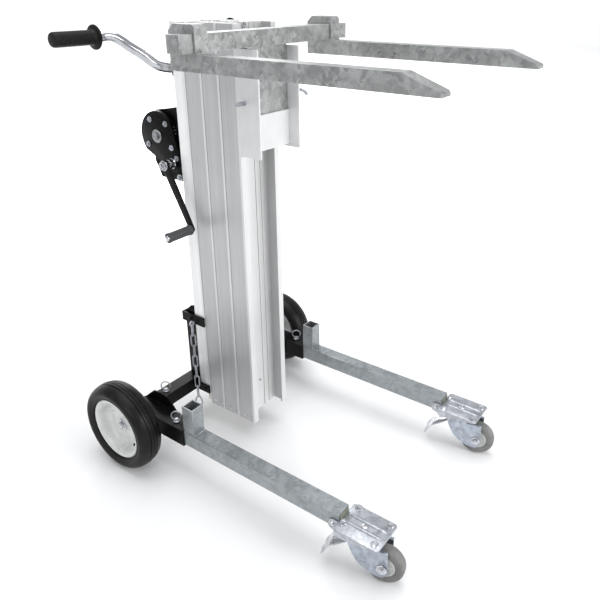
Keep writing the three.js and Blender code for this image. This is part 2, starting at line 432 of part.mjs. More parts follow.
// ------------------------------------------------------------ carriage and forks
const CG_Z0 = 857, CG_Z1 = 1104;
put('carriage', cut(join(
  box(-76, 76, -3, 5, CG_Z0, CG_Z1),
  box(71.5, 76, -60, -2, CG_Z0, CG_Z1), box(-76, -71.5, -60, -2, CG_Z0, CG_Z1),
  box(-72, 72, -30, -26, 866, 952),
  box(-72, 72, -30, -2, 866, 872)),
  cyl('x', 5.3, -90, 90, -15, 984, 16)), M.cast_al);
put('carriage_slide_shoe', join(box(-62.5, 62.5, 12.6, 25, CG_Z0 + 4, 1025), box(-53, 53, 5 + GAP, 13, CG_Z0 + 4, 1025)), M.nylon);
put('fork_frame', cut(join(
  box(-BAR_HALF, BAR_HALF, BAR_Y0, BAR_Y1, BAR_Z0, BAR_Z1),
  box(-70, 70, -25.5, -3.4, 874, BAR_Z1 - 4)),
  box(-BAR_HALF + 4, BAR_HALF + 5, BAR_Y0 + 3, BAR_Y1 - 3, BAR_Z0 + 3, BAR_Z1 - 3),
  cyl('x', 5.3, -100, 100, -15, 984, 16)), M.galvanised);
put('frame_lock_pin', join(
  cyl('x', 5, -102, 84, -15, 984, 16),
  cyl('x', 8, 76.5, 81, -15, 984, 16),
  cyl('x', 4, 80, 92, -15, 984, 12),
  extrude([[-38, 996], [-16, 988], [-10, 990], [-9, 978], [-16, 978], [-40, 984]], [], 'x', 88, 96)), M.zinc);
for (const [nm, s] of sides) {
  // fork: square tube with a wedge nose and a closing plate, under a saddle that slides on the crossbar
  const arm = extrude([[FORK_REAR, FORK_Z0], [FORK_REAR, FORK_Z1], [-516, FORK_Z1], [FORK_TIP + 4, FORK_Z0 + 10], [FORK_TIP, FORK_Z0 + 6], [FORK_TIP, FORK_Z0]], [], 'x', FORK_X0, FORK_X1);
  const hollow = extrude([[FORK_REAR + 10, FORK_Z0 + 3], [FORK_REAR + 10, FORK_Z1 - 3], [-514, FORK_Z1 - 3], [-570, FORK_Z0 + 10], [-570, FORK_Z0 + 3]], [], 'x', FORK_X0 + 3, FORK_X1 - 3);
  const sad = [[-55, FORK_Z1 - 2], [-55, 1158], [-49, 1164], [6, 1164], [20, 1150], [20, FORK_Z1 - 2]];
  const win = [rect(BAR_Y0 - GAP, BAR_Y1 + GAP, BAR_Z0 - GAP, BAR_Z1 + GAP)];
  const saddle = cut(extrude(sad, [], 'x', FORK_X0, FORK_X1), extrude(win[0], [], 'x', FORK_X0 - 5, FORK_X1 + 5));
  put(`${nm}_fork`, side(s, join(cut(arm, hollow), saddle)), M.galvanised);
}

// ------------------------------------------------------------ safety chain
{
  put('safety_chain', join(
    box(CHAIN_X - 5, CHAIN_X + 5, CHAIN_Y - 5, CHAIN_Y + 5, 92, CHAIN_Z - 11),
    box(CHAIN_X - 2.5, CHAIN_X + 2.5, CHAIN_Y - 10, CHAIN_Y + 10, 46, 93)), M.zinc);
}

export default group;
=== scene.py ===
import bpy, bmesh, math, random
from mathutils import Vector, Matrix


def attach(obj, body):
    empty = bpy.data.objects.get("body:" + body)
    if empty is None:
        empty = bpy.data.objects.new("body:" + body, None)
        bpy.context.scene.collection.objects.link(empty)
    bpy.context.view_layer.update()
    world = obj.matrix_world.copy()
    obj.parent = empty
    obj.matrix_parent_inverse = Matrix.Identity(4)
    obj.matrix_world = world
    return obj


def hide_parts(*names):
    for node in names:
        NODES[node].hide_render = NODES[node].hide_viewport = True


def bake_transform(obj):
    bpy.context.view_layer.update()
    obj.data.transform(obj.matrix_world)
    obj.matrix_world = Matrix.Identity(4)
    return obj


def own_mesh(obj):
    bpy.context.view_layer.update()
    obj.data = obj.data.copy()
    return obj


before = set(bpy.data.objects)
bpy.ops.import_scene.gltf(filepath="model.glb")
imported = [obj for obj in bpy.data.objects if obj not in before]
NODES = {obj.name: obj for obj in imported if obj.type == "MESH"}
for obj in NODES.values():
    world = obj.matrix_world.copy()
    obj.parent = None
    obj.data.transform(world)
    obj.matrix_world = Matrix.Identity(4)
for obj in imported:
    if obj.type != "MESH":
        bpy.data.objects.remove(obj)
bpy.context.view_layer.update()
scene = bpy.context.scene
YS = 104.5                      # working frame (mm) to row frame
rnd = random.Random(7)
SIDES = (("right", -1), ("left", 1))


# ------------------------------------------------------------------ camera
def camera():
    cam = bpy.data.cameras.new("cam")
    cam.sensor_width = 36.0
    cam.lens = 37.64
    cam.shift_x = -0.0485
    cam.shift_y = -0.0868
    cam.clip_end = 60
    ob = bpy.data.objects.new("cam", cam)
    scene.collection.objects.link(ob)
    a, e, r = math.radians(-55.1113), math.radians(22.5314), math.radians(0.1818)
    back = Vector((math.sin(a) * math.cos(e), -math.cos(a) * math.cos(e), math.sin(e)))
    right = Vector((math.cos(a), math.sin(a), 0))
    up = back.cross(right)
    rr = right * math.cos(r) + up * math.sin(r)
    uu = up * math.cos(r) - right * math.sin(r)
    m = Matrix((rr, uu, back)).transposed().to_4x4()
    m.translation = Vector((-1.16204, (-1012.29 + YS) / 1000, 1.23082))
    ob.matrix_world = m
    scene.camera = ob
    return ob


cam_ob = camera()


# ------------------------------------------------------------------ materials
def new_mat(name):
    m = bpy.data.materials.new(name)
    m.use_nodes = True
    nt = m.node_tree
    b = nt.nodes["Principled BSDF"]
    tc = nt.nodes.new("ShaderNodeTexCoord")
    return m, nt, b, tc


def node(nt, kind, **kw):
    n = nt.nodes.new(kind)
    for k, v in kw.items():
        setattr(n, k, v)
    return n


def noise(nt, vec, scale, detail=4, rough=0.55, stretch=None, dist=0.0):
    if stretch is not None:
        mp = node(nt, "ShaderNodeMapping")
        mp.inputs["Scale"].default_value = stretch
        nt.links.new(vec, mp.inputs["Vector"])
        vec = mp.outputs["Vector"]
    n = node(nt, "ShaderNodeTexNoise")
    n.inputs["Scale"].default_value = scale
    n.inputs["Detail"].default_value = detail
    n.inputs["Roughness"].default_value = rough
    n.inputs["Distortion"].default_value = dist
    nt.links.new(vec, n.inputs["Vector"])
    return n.outputs["Fac"]


def ramp(nt, fac, stops):
    r = node(nt, "ShaderNodeValToRGB")
    el = r.color_ramp.elements
    el[0].position, el[0].color = stops[0][0], (*stops[0][1], 1) if len(stops[0][1]) == 3 else stops[0][1]
    el[1].position, el[1].color = stops[-1][0], (*stops[-1][1], 1)
    for p, c in stops[1:-1]:
        x = el.new(p)
        x.color = (*c, 1)
    nt.links.new(fac, r.inputs["Fac"])
    return r.outputs["Color"]


def g(v):
    return (v, v, v)


def mapr(nt, fac, lo, hi, flo=0.3, fhi=0.7):
    m = node(nt, "ShaderNodeMapRange")
    m.inputs["From Min"].default_value = flo
    m.inputs["From Max"].default_value = fhi
    m.inputs["To Min"].default_value = lo
    m.inputs["To Max"].default_value = hi
    nt.links.new(fac, m.inputs["Value"])
    return m.outputs["Result"]


def mix(nt, fac, a, b, mode="MIX"):
    m = node(nt, "ShaderNodeMix", data_type="RGBA", blend_type=mode)
    for sock, val in ((m.inputs[0], fac), (m.inputs[6], a), (m.inputs[7], b)):
        if isinstance(val, (int, float)):
            sock.default_value = val
        elif isinstance(val, tuple):
            sock.default_value = (*val, 1)
        else:
            nt.links.new(val, sock)
    return m.outputs[2]


def mathn(nt, op, a, b=0.0):
    m = node(nt, "ShaderNodeMath", operation=op)
    for s, v in ((m.inputs[0], a), (m.inputs[1], b)):
        if isinstance(v, (int, float)):
            s.default_value = v
        else:
            nt.links.new(v, s)
    return m.outputs[0]


def bump(nt, b, height, strength=0.2, distance=0.001, chain=None):
    n = node(nt, "ShaderNodeBump")
    n.inputs["Strength"].default_value = strength
    n.inputs["Distance"].default_value = distance
    nt.links.new(height, n.inputs["Height"])
    if chain is not None:
        nt.links.new(chain, n.inputs["Normal"])
    nt.links.new(n.outputs["Normal"], b.inputs["Normal"])
    return n.outputs["Normal"]


def edge_mask(nt, radius=0.0016, lo=0.72, hi=0.97):
    bv = node(nt, "ShaderNodeBevel", samples=6)
    bv.inputs["Radius"].default_value = radius
    geo = node(nt, "ShaderNodeNewGeometry")
    d = node(nt, "ShaderNodeVectorMath", operation="DOT_PRODUCT")
    nt.links.new(bv.outputs["Normal"], d.inputs[0])
    nt.links.new(geo.outputs["Normal"], d.inputs[1])
    return mapr(nt, d.outputs["Value"], 1.0, 0.0, lo, hi)


def M_galv(name="galvanised", lo=0.20, hi=0.40, tint=(0.94, 0.985, 1.0), metallic=0.85):
    m, nt, b, tc = new_mat(name)
    o = tc.outputs["Object"]
    v = node(nt, "ShaderNodeTexVoronoi", feature="F1")
    v.inputs["Scale"].default_value = 95
    v.inputs["Randomness"].default_value = 1.0
    warp = node(nt, "ShaderNodeTexNoise")
    warp.inputs["Scale"].default_value = 60
    nt.links.new(o, warp.inputs["Vector"])
    wm = node(nt, "ShaderNodeMix", data_type="VECTOR")
    wm.inputs[0].default_value = 0.03
    nt.links.new(o, wm.inputs[4]); nt.links.new(warp.outputs["Color"], wm.inputs[5])
    nt.links.new(wm.outputs[1], v.inputs["Vector"])
    sp = node(nt, "ShaderNodeSeparateColor")
    nt.links.new(v.outputs["Color"], sp.inputs[0])
    big = noise(nt, o, 16, 5, 0.6)
    mid = noise(nt, o, 70, 5, 0.65)
    s = mathn(nt, "ADD", mathn(nt, "MULTIPLY", sp.outputs[0], 0.30), mathn(nt, "ADD", mathn(nt, "MULTIPLY", big, 0.45), mathn(nt, "MULTIPLY", mid, 0.35)))
    t = lambda k: tuple(k * c for c in tint)
    col = ramp(nt, s, [(0.30, t(lo)), (0.55, t((lo + hi) / 2)), (0.8, t(hi))])
    # painted highlight: all edges are mixed towards a pale grey
    e = edge_mask(nt)
    col = mix(nt, mathn(nt, "MULTIPLY", e, 0.55), col, (0.78, 0.80, 0.81))
    nt.links.new(col, b.inputs["Base Color"])
    b.inputs["Metallic"].default_value = metallic
    nt.links.new(mapr(nt, s, 0.27, 0.52, 0.3, 0.8), b.inputs["Roughness"])
    fine = noise(nt, o, 900, 3, 0.6)
    h = mathn(nt, "ADD", mathn(nt, "MULTIPLY", mid, 0.7), mathn(nt, "MULTIPLY", fine, 0.25))
    bump(nt, b, h, 0.22, 0.0006)
    return m


def M_zinc(name="zinc", base=(0.62, 0.65, 0.69), rough=(0.16, 0.34)):
    m, nt, b, tc = new_mat(name)
    o = tc.outputs["Object"]
    n1 = noise(nt, o, 55, 6, 0.65, dist=0.6)
    n2 = noise(nt, o, 420, 3, 0.6)
    dark = tuple(c * 0.62 for c in base)
    lite = tuple(min(1, c * 1.28) for c in base)
    col = ramp(nt, n1, [(0.30, dark), (0.5, base), (0.68, lite)])
    # painted highlight: all edges are mixed towards near-white
    e = edge_mask(nt, 0.0012)
    col = mix(nt, mathn(nt, "MULTIPLY", e, 0.6), col, (0.90, 0.91, 0.92))
    nt.links.new(col, b.inputs["Base Color"])
    b.inputs["Metallic"].default_value = 0.92
    nt.links.new(mapr(nt, n2, rough[0], rough[1]), b.inputs["Roughness"])
    bump(nt, b, mathn(nt, "ADD", n1, mathn(nt, "MULTIPLY", n2, 0.3)), 0.16, 0.0005)
    return m


def M_chrome(name="chrome"):
    m, nt, b, tc = new_mat(name)
    o = tc.outputs["Object"]
    n1 = noise(nt, o, 30, 5, 0.6)
    n2 = noise(nt, o, 700, 2, 0.5)
    nt.links.new(ramp(nt, n1, [(0.3, (0.42, 0.43, 0.45)), (0.7, (0.62, 0.63, 0.65))]), b.inputs["Base Color"])
    b.inputs["Metallic"].default_value = 1.0
    nt.links.new(mapr(nt, mathn(nt, "ADD", mathn(nt, "MULTIPLY", n1, 0.7), mathn(nt, "MULTIPLY", n2, 0.3)), 0.05, 0.2), b.inputs["Roughness"])
    bump(nt, b, n2, 0.03, 0.0003)
    return m


def M_anod(name="anodised", side=0.60, front=0.80, ridge=0.0712):
    """Clear-anodised extrusion: die lines along Z and handling marks; a lighter colour paints a highlight on the proud
    ridges and light on the faces turned to ±Y.
    """
    m, nt, b, tc = new_mat(name)
    o = tc.outputs["Object"]
    die = noise(nt, o, 1.0, 5, 0.7, stretch=(900, 900, 1.2))
    broad = noise(nt, o, 1.0, 4, 0.55, stretch=(75, 75, 2.2))
    cloud = noise(nt, o, 7, 5, 0.6)
    s = mathn(nt, "ADD", mathn(nt, "MULTIPLY", die, 0.22), mathn(nt, "ADD", mathn(nt, "MULTIPLY", broad, 0.5), mathn(nt, "MULTIPLY", cloud, 0.28)))
    c_side = ramp(nt, s, [(0.30, (side * 0.84, side * 0.845, side * 0.84)), (0.5, g(side)), (0.70, g(side * 1.13))])
    # lighter colour: painted light on the ±Y faces and a painted highlight on the proud ridges
    lit_front_and_ridge_col = ramp(nt, s, [(0.30, g(front * 0.93)), (0.70, g(min(0.95, front * 1.08)))])
    sx = node(nt, "ShaderNodeSeparateXYZ")
    nt.links.new(o, sx.inputs[0])
    ax = mathn(nt, "ABSOLUTE", sx.outputs["X"])
    geo = node(nt, "ShaderNodeNewGeometry")
    sn = node(nt, "ShaderNodeSeparateXYZ")
    nt.links.new(geo.outputs["Normal"], sn.inputs[0])
    facing_y = mathn(nt, "ABSOLUTE", sn.outputs["Y"])
    # painted highlight on the proud ridges and painted light on the faces turned to ±Y, chosen by position and normal
    proud = mapr(nt, ax, 0, 1, ridge - 0.0002, ridge + 0.0002)
    lit_front_mask = mapr(nt, facing_y, 0, 1, 0.4, 0.8)
    k = mathn(nt, "MAXIMUM", proud, lit_front_mask)
    nt.links.new(mix(nt, k, c_side, lit_front_and_ridge_col), b.inputs["Base Color"])
    b.inputs["Metallic"].default_value = 0.35
    nt.links.new(mapr(nt, s, 0.30, 0.48), b.inputs["Roughness"])
    b.inputs["Anisotropic"].default_value = 0.4
    bump(nt, b, mathn(nt, "ADD", mathn(nt, "MULTIPLY", die, 0.8), mathn(nt, "MULTIPLY", cloud, 0.1)), 0.10, 0.0004)
    return m


def M_whitealu(name="carriage_alu", v=0.88):
    m, nt, b, tc = new_mat(name)
    o = tc.outputs["Object"]
    n1 = noise(nt, o, 14, 5, 0.6)
    n2 = noise(nt, o, 1.0, 4, 0.65, stretch=(600, 600, 14))
    n3 = noise(nt, o, 240, 3, 0.6)
    s = mathn(nt, "ADD", mathn(nt, "MULTIPLY", n1, 0.6), mathn(nt, "MULTIPLY", n2, 0.4))
    col = ramp(nt, s, [(0.3, (v * 0.90, v * 0.905, v * 0.91)), (0.7, (min(1, v * 1.07),) * 3)])
    # painted highlight: all edges are mixed towards near-white
    e = edge_mask(nt, 0.0012)
    col = mix(nt, mathn(nt, "MULTIPLY", e, 0.35), col, (0.93, 0.93, 0.94))
    nt.links.new(col, b.inputs["Base Color"])
    b.inputs["Metallic"].default_value = 0.3
    nt.links.new(mapr(nt, s, 0.32, 0.5), b.inputs["Roughness"])
    bump(nt, b, mathn(nt, "ADD", n3, n2), 0.08, 0.0004)
    return m


def M_black(name="black_paint", base=0.0025, rough=(0.28, 0.46), wear=0.3):
    m, nt, b, tc = new_mat(name)
    o = tc.outputs["Object"]
    n1 = noise(nt, o, 22, 5, 0.6)
    n2 = noise(nt, o, 300, 2, 0.5)
    dust = mapr(nt, noise(nt, o, 90, 6, 0.7), 0, 1, 0.52, 0.72)
    col = ramp(nt, n1, [(0.3, g(base * 0.7)), (0.7, (base * 1.6, base * 1.6, base * 1.7))])
    col = mix(nt, mathn(nt, "MULTIPLY", dust, 0.03), col, (0.16, 0.16, 0.155))
    e = edge_mask(nt, 0.0013, 0.70, 0.95)
    chip = mapr(nt, noise(nt, o, 170, 5, 0.7), 0, 1, 0.50, 0.60)
    w = mathn(nt, "MULTIPLY", mathn(nt, "MULTIPLY", e, chip), wear)
    col = mix(nt, w, col, (0.30, 0.30, 0.31))
    nt.links.new(col, b.inputs["Base Color"])
    nt.links.new(mathn(nt, "MULTIPLY", w, 0.8), b.inputs["Metallic"])
    nt.links.new(mapr(nt, mathn(nt, "ADD", mathn(nt, "MULTIPLY", n1, 0.6), mathn(nt, "MULTIPLY", dust, 0.4)), rough[0], rough[1], 0.2, 0.8), b.inputs["Roughness"])
    b.inputs["Specular IOR Level"].default_value = 0.12
    bump(nt, b, n2, 0.12, 0.0004)
    return m


def M_rubber(name="tyre_rubber", base=0.005, rough=(0.30, 0.52), grain=520, dusty=0.12):
    m, nt, b, tc = new_mat(name)
    o = tc.outputs["Object"]
    n1 = noise(nt, o, 18, 5, 0.6)
    n2 = noise(nt, o, grain, 3, 0.6)
    n3 = noise(nt, o, 60, 6, 0.7)
    col = ramp(nt, n1, [(0.3, g(base * 0.7)), (0.7, (base * 1.7, base * 1.68, base * 1.62))])
    d = mathn(nt, "MULTIPLY", mapr(nt, n3, 0, 1, 0.45, 0.75), dusty * 0.35)
    col = mix(nt, d, col, (0.16, 0.15, 0.14))
    nt.links.new(col, b.inputs["Base Color"])
    nt.links.new(mapr(nt, mathn(nt, "ADD", mathn(nt, "MULTIPLY", n1, 0.5), mathn(nt, "MULTIPLY", n3, 0.5)), rough[0], rough[1]), b.inputs["Roughness"])
    b.inputs["Specular IOR Level"].default_value = 0.2
    bump(nt, b, mathn(nt, "ADD", n2, mathn(nt, "MULTIPLY", n3, 0.3)), 0.22, 0.0005)
    return m


def M_rim(name="rim_paint"):
    m, nt, b, tc = new_mat(name)
    o = tc.outputs["Object"]
    n1 = noise(nt, o, 28, 6, 0.65, dist=0.4)
    n2 = noise(nt, o, 150, 5, 0.65)
    n3 = noise(nt, o, 500, 2, 0.5)
    s = mathn(nt, "ADD", mathn(nt, "MULTIPLY", n1, 0.65), mathn(nt, "MULTIPLY", n2, 0.35))
    col = ramp(nt, s, [(0.26, (0.50, 0.505, 0.49)), (0.48, (0.68, 0.685, 0.67)), (0.70, (0.79, 0.79, 0.78))])
    # painted highlight: all edges are mixed towards a pale grey
    e = edge_mask(nt, 0.0012)
    col = mix(nt, mathn(nt, "MULTIPLY", e, 0.35), col, (0.86, 0.86, 0.85))
    nt.links.new(col, b.inputs["Base Color"])
    b.inputs["Metallic"].default_value = 0.12
    nt.links.new(mapr(nt, s, 0.55, 0.32), b.inputs["Roughness"])
    bump(nt, b, mathn(nt, "ADD", n2, n3), 0.15, 0.0004)
    return m


def M_steel(name="steel", base=(0.36, 0.37, 0.38), rough=(0.28, 0.5)):
    m, nt, b, tc = new_mat(name)
    o = tc.outputs["Object"]
    n1 = noise(nt, o, 60, 6, 0.65)
    n2 = noise(nt, o, 500, 3, 0.6)
    col = ramp(nt, n1, [(0.3, tuple(c * 0.6 for c in base)), (0.7, tuple(c * 1.3 for c in base))])
    nt.links.new(col, b.inputs["Base Color"])
    b.inputs["Metallic"].default_value = 0.9
    nt.links.new(mapr(nt, n2, rough[0], rough[1]), b.inputs["Roughness"])
    bump(nt, b, mathn(nt, "ADD", n1, n2), 0.15, 0.0004)
    return m


def M_plastic(name="plastic", base=(0.035, 0.036, 0.038), rough=(0.4, 0.6), sss=False):
    m, nt, b, tc = new_mat(name)
    o = tc.outputs["Object"]
    n1 = noise(nt, o, 40, 5, 0.6)
    n2 = noise(nt, o, 650, 3, 0.6)
    col = ramp(nt, n1, [(0.3, tuple(c * 0.8 for c in base)), (0.7, tuple(min(1, c * 1.2) for c in base))])
    nt.links.new(col, b.inputs["Base Color"])
    nt.links.new(mapr(nt, n2, rough[0], rough[1]), b.inputs["Roughness"])
    bump(nt, b, n2, 0.15, 0.0004)
    return m


GALV = M_galv("galvanised_leg", 0.27, 0.45, (0.90, 0.965, 1.0), 0.7)
GALV_FORK = M_galv("galvanised_fork", 0.25, 0.50, (0.985, 1.0, 0.99), 0.7)
ZINC = M_zinc("zinc_plate", (0.46, 0.475, 0.51), (0.30, 0.50))
ZINC_BLUE = M_zinc("zinc_blue", (0.42, 0.46, 0.52), (0.26, 0.44))
ZINC_BRIGHT = M_zinc("zinc_bright", (0.64, 0.65, 0.68), (0.14, 0.28))
CHROME = M_chrome()
ANOD = M_anod("anodised_side", 0.52, 0.72)
# painted highlight: the outer section's sides get a far lighter grey (0.93) than the other sections' sides (0.52)
ANOD_S1 = M_anod("anodised_outer_painted_highlight", 0.93, 0.80)
WHITE = M_whitealu(v=0.74)
BLACK = M_black()
BLACK_SATIN = M_black("black_satin", 0.006, (0.26, 0.42), 0.5)
TYRE = M_rubber()
GRIP = M_rubber("grip_rubber", 0.006, (0.35, 0.6), 700, 0.1)
TREAD = M_rubber("grey_tread", 0.16, (0.45, 0.65), 400, 0.3)
RIM = M_rim()
STEEL = M_steel()
ROPE = M_steel("wire_rope", (0.42, 0.43, 0.44), (0.3, 0.45))
DARKGRIP = M_plastic("dark_grip", (0.045, 0.047, 0.05), (0.38, 0.6))
NYLON = M_plastic("nylon", (0.78, 0.76, 0.70), (0.35, 0.55))
HUBWHITE = M_plastic("hub_plastic", (0.66, 0.67, 0.65), (0.35, 0.5))
OLIVE = M_plastic("end_plug", (0.20, 0.21, 0.16), (0.45, 0.65))


# ------------------------------------------------------------------ mesh helpers (working frame, mm)
def finish(name, bm, mat, body, angle=32, replaces=(), yaw_x=None):
    bmesh.ops.recalc_face_normals(bm, faces=bm.faces[:])
    if yaw_x is not None:
        c, q = Vector((yaw_x, -483, 0)), Matrix.Rotation(math.radians(12), 3, "Z")
        for v in bm.verts:
            v.co = q @ (v.co - c) + c
    for v in bm.verts:
        v.co = Vector((v.co.x / 1000, (v.co.y + YS) / 1000, v.co.z / 1000))
    me = bpy.data.meshes.new(name)
    bm.to_mesh(me)
    bm.free()
    for p in me.polygons:
        p.use_smooth = True
    me.set_sharp_from_angle(angle=math.radians(angle))
    o = bpy.data.objects.new(name, me)
    scene.collection.objects.link(o)
    me.materials.append(mat)
    if body:
        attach(o, body)
    for r in replaces:
        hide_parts(r)
    return o


def AX(axis):
    return {"x": (Vector((1, 0, 0)), Vector((0, 1, 0)), Vector((0, 0, 1))),
            "y": (Vector((0, 1, 0)), Vector((0, 0, 1)), Vector((1, 0, 0))),
            "z": (Vector((0, 0, 1)), Vector((1, 0, 0)), Vector((0, 1, 0)))}[axis] if isinstance(axis, str) else axis


def lathe(bm, prof, centre, axis="x", segs=64, phase=0.0):
    """prof: [(radius, along)]; closed loop, or ends on the axis."""
    d, u, v = AX(axis)
    c = Vector(centre)
    rings = []
    for r, a in prof:
        if r < 1e-6:
            rings.append([bm.verts.new(c + d * a)])
        else:
            rings.append([bm.verts.new(c + d * a + u * (r * math.cos(phase + 2 * math.pi * i / segs)) + v * (r * math.sin(phase + 2 * math.pi * i / segs))) for i in range(segs)])
    n = len(rings)
    closed = len(rings[0]) > 1 and len(rings[-1]) > 1
    for k in range(n if closed else n - 1):
        p, q = rings[k], rings[(k + 1) % n]
        if len(p) == 1 and len(q) == 1:
            continue
        for i in range(segs):
            j = (i + 1) % segs
            if len(p) == 1:
                bm.faces.new((p[0], q[j], q[i]))
            elif len(q) == 1:
                bm.faces.new((p[i], p[j], q[0]))
            else:
                bm.faces.new((p[i], p[j], q[j], q[i]))
    return bm


def arc(cx, cy, r, a0, a1, n):
    return [(cx + r * math.cos(math.radians(a0 + (a1 - a0) * i / n)), cy + r * math.sin(math.radians(a0 + (a1 - a0) * i / n))) for i in range(n + 1)]


def rod(bm, p0, p1, r, segs=24, ch=0.4):
    p0, p1 = Vector(p0), Vector(p1)
    L = (p1 - p0).length
    d = (p1 - p0).normalized()
    u = d.orthogonal().normalized()
    v = d.cross(u)
    ch = min(ch, r * 0.4, L * 0.3)
    lathe(bm, [(0, 0), (r - ch, 0), (r, ch), (r, L - ch), (r - ch, L), (0, L)], p0, (d, u, v), segs)
    return bm


def hexa(bm, p, d, af, h, washer=True, phase=0.3, dome=True):
    """hex head with washer, standing on p and pointing along d."""
    d = Vector(d).normalized()
    u = d.orthogonal().normalized()
    v = d.cross(u)
    p = Vector(p)
    base = 0.0
    if washer:
        R = af * 0.98
        lathe(bm, [(0, 0), (R - 0.3, 0), (R, 0.3), (R, 1.2), (R - 0.4, 1.6), (0, 1.6)], p, (d, u, v), 28)
        base = 1.5
    R = af / 2 / math.cos(math.pi / 6)
    lathe(bm, [(0, base), (R, base), (R, base + h * 0.78), (R * 0.86, base + h), (0, base + h)], p, (d, u, v), 6, phase)
    return bm


def box(bm, x0, x1, y0, y1, z0, z1, bev=0.6, seg=2):
    r = bmesh.ops.create_cube(bm, size=1.0)
    vs = r["verts"]
    for w in vs:
        w.co = Vector(((x0 + x1) / 2 + w.co.x * (x1 - x0), (y0 + y1) / 2 + w.co.y * (y1 - y0), (z0 + z1) / 2 + w.co.z * (z1 - z0)))
    if bev > 0:
        es = list({e for w in vs for e in w.link_edges})
        bmesh.ops.bevel(bm, geom=es, offset=min(bev, 0.45 * min(x1 - x0, y1 - y0, z1 - z0)), segments=seg, profile=0.5, affect="EDGES")
    return bm


def prism(bm, pts, axis, a0, a1, bev=0.6, seg=2, holes=()):
    """polygon extruded along an axis; pts are (y,z) for x, (x,z) for y, (x,y) for z."""
    def at(p, a):
        return {"x": Vector((a, p[0], p[1])), "y": Vector((p[0], a, p[1])), "z": Vector((p[0], p[1], a))}[axis]
    sub = bmesh.new()
    lo = [sub.verts.new(at(p, a0)) for p in pts]
    hi = [sub.verts.new(at(p, a1)) for p in pts]
    sub.faces.new(lo)
    sub.faces.new(hi[::-1])
    n = len(pts)
    for i in range(n):
        sub.faces.new((lo[i], hi[i], hi[(i + 1) % n], lo[(i + 1) % n]))
    bmesh.ops.recalc_face_normals(sub, faces=sub.faces[:])
    if bev > 0:
        es = [e for e in sub.edges if len(e.link_faces) == 2 and e.calc_face_angle(0) > math.radians(28)]
        bmesh.ops.bevel(sub, geom=es, offset=bev, segments=seg, profile=0.5, affect="EDGES", clamp_overlap=True)
    me = bpy.data.meshes.new("tmp")
    sub.to_mesh(me)
    sub.free()
    bm.from_mesh(me)
    bpy.data.meshes.remove(me)
    return bm


def sweep(bm, pts, r, segs=20, closed=False, cap=True):
    """round bar along points; r may be a function of the point index"""
    P = [Vector(p) for p in pts]
    n = len(P)
    T = []
    for i in range(n):
        a = P[(i - 1) % n] if (closed or i > 0) else P[i]
        b = P[(i + 1) % n] if (closed or i < n - 1) else P[i]
        T.append((b - a).normalized())
    u = T[0].orthogonal().normalized()
    rings = []
    U = []
    for i in range(n):
        if i:
            q = T[i - 1].rotation_difference(T[i])
            u = (q @ u).normalized()
        U.append(u.copy())
    twist = 0.0
    if closed:
        q = T[-1].rotation_difference(T[0])
        e = (q @ U[-1]).normalized()
        twist = math.atan2(T[0].dot(U[0].cross(e)), U[0].dot(e))
    for i in range(n):
        uu = Matrix.Rotation(-twist * i / n, 3, T[i]) @ U[i] if closed else U[i]
        vv = T[i].cross(uu)
        rr = r(i) if callable(r) else r
        rings.append([bm.verts.new(P[i] + (uu * math.cos(2 * math.pi * k / segs) + vv * math.sin(2 * math.pi * k / segs)) * rr) for k in range(segs)])
    for i in range(n if closed else n - 1):
        p, q = rings[i], rings[(i + 1) % n]
        for k in range(segs):
            j = (k + 1) % segs
            bm.faces.new((p[k], p[j], q[j], q[k]))
    if not closed and cap:
        bm.faces.new(rings[0][::-1])
        bm.faces.new(rings[-1])
    return bm


def smooth_path(pts, n):
    """centripetal Catmull-Rom through pts, n samples in all"""
    P = [Vector(p) for p in pts]
    P = [P[0] * 2 - P[1]] + P + [P[-1] * 2 - P[-2]]
    segs = len(P) - 3
    out = []
    lens = [(P[i + 2] - P[i + 1]).length for i in range(segs)]
    tot = sum(lens)
    for s in range(segs):
        p0, p1, p2, p3 = P[s:s + 4]
        t0 = 0.0
        t1 = t0 + max(1e-4, (p1 - p0).length ** 0.5)
        t2 = t1 + max(1e-4, (p2 - p1).length ** 0.5)
        t3 = t2 + max(1e-4, (p3 - p2).length ** 0.5)
        k = max(2, round(n * lens[s] / tot))
        for i in range(k):
            t = t1 + (t2 - t1) * i / k
            A1 = p0 * ((t1 - t) / (t1 - t0)) + p1 * ((t - t0) / (t1 - t0))
            A2 = p1 * ((t2 - t) / (t2 - t1)) + p2 * ((t - t1) / (t2 - t1))
            A3 = p2 * ((t3 - t) / (t3 - t2)) + p3 * ((t - t2) / (t3 - t2))
            B1 = A1 * ((t2 - t) / (t2 - t0)) + A2 * ((t - t0) / (t2 - t0))
            B2 = A2 * ((t3 - t) / (t3 - t1)) + A3 * ((t - t1) / (t3 - t1))
            out.append(B1 * ((t2 - t) / (t2 - t1)) + B2 * ((t - t1) / (t2 - t1)))
    out.append(P[-2])
    return out


def weld_bead(bm, p0, p1, r=2.2, step=3.2):
    """row of overlapping ripples: one swept bar whose radius rises and falls"""
    p0, p1 = Vector(p0), Vector(p1)
    L = (p1 - p0).length
    n = max(6, int(L / (step / 4)))
    pts = [p0.lerp(p1, i / n) for i in range(n + 1)]
    return sweep(bm, pts, lambda i: r * (0.25 if i in (0, n) else (0.84 + 0.16 * abs(math.sin(math.pi * i / 4)))), 10)


def keep_cad(name, mat, bev=0.8, seg=2, angle=28):
    """a CAD node that stays: coplanar faces joined, edges rounded, own material"""
    o = NODES[name]
    o.data.materials.clear()
    o.data.materials.append(mat)
    for p in o.data.polygons:
        p.material_index = 0
    if bev > 0:
        d = o.modifiers.new("planar", "DECIMATE")
        d.decimate_type = "DISSOLVE"
        d.angle_limit = math.radians(0.6)
        b = o.modifiers.new("edges", "BEVEL")
        b.width = bev / 1000
        b.segments = seg
        b.limit_method = "ANGLE"
        b.angle_limit = math.radians(angle)
        b.use_clamp_overlap = True
        b.harden_normals = False
        w = o.modifiers.new("normals", "WEIGHTED_NORMAL")
        w.keep_sharp = True
    return o


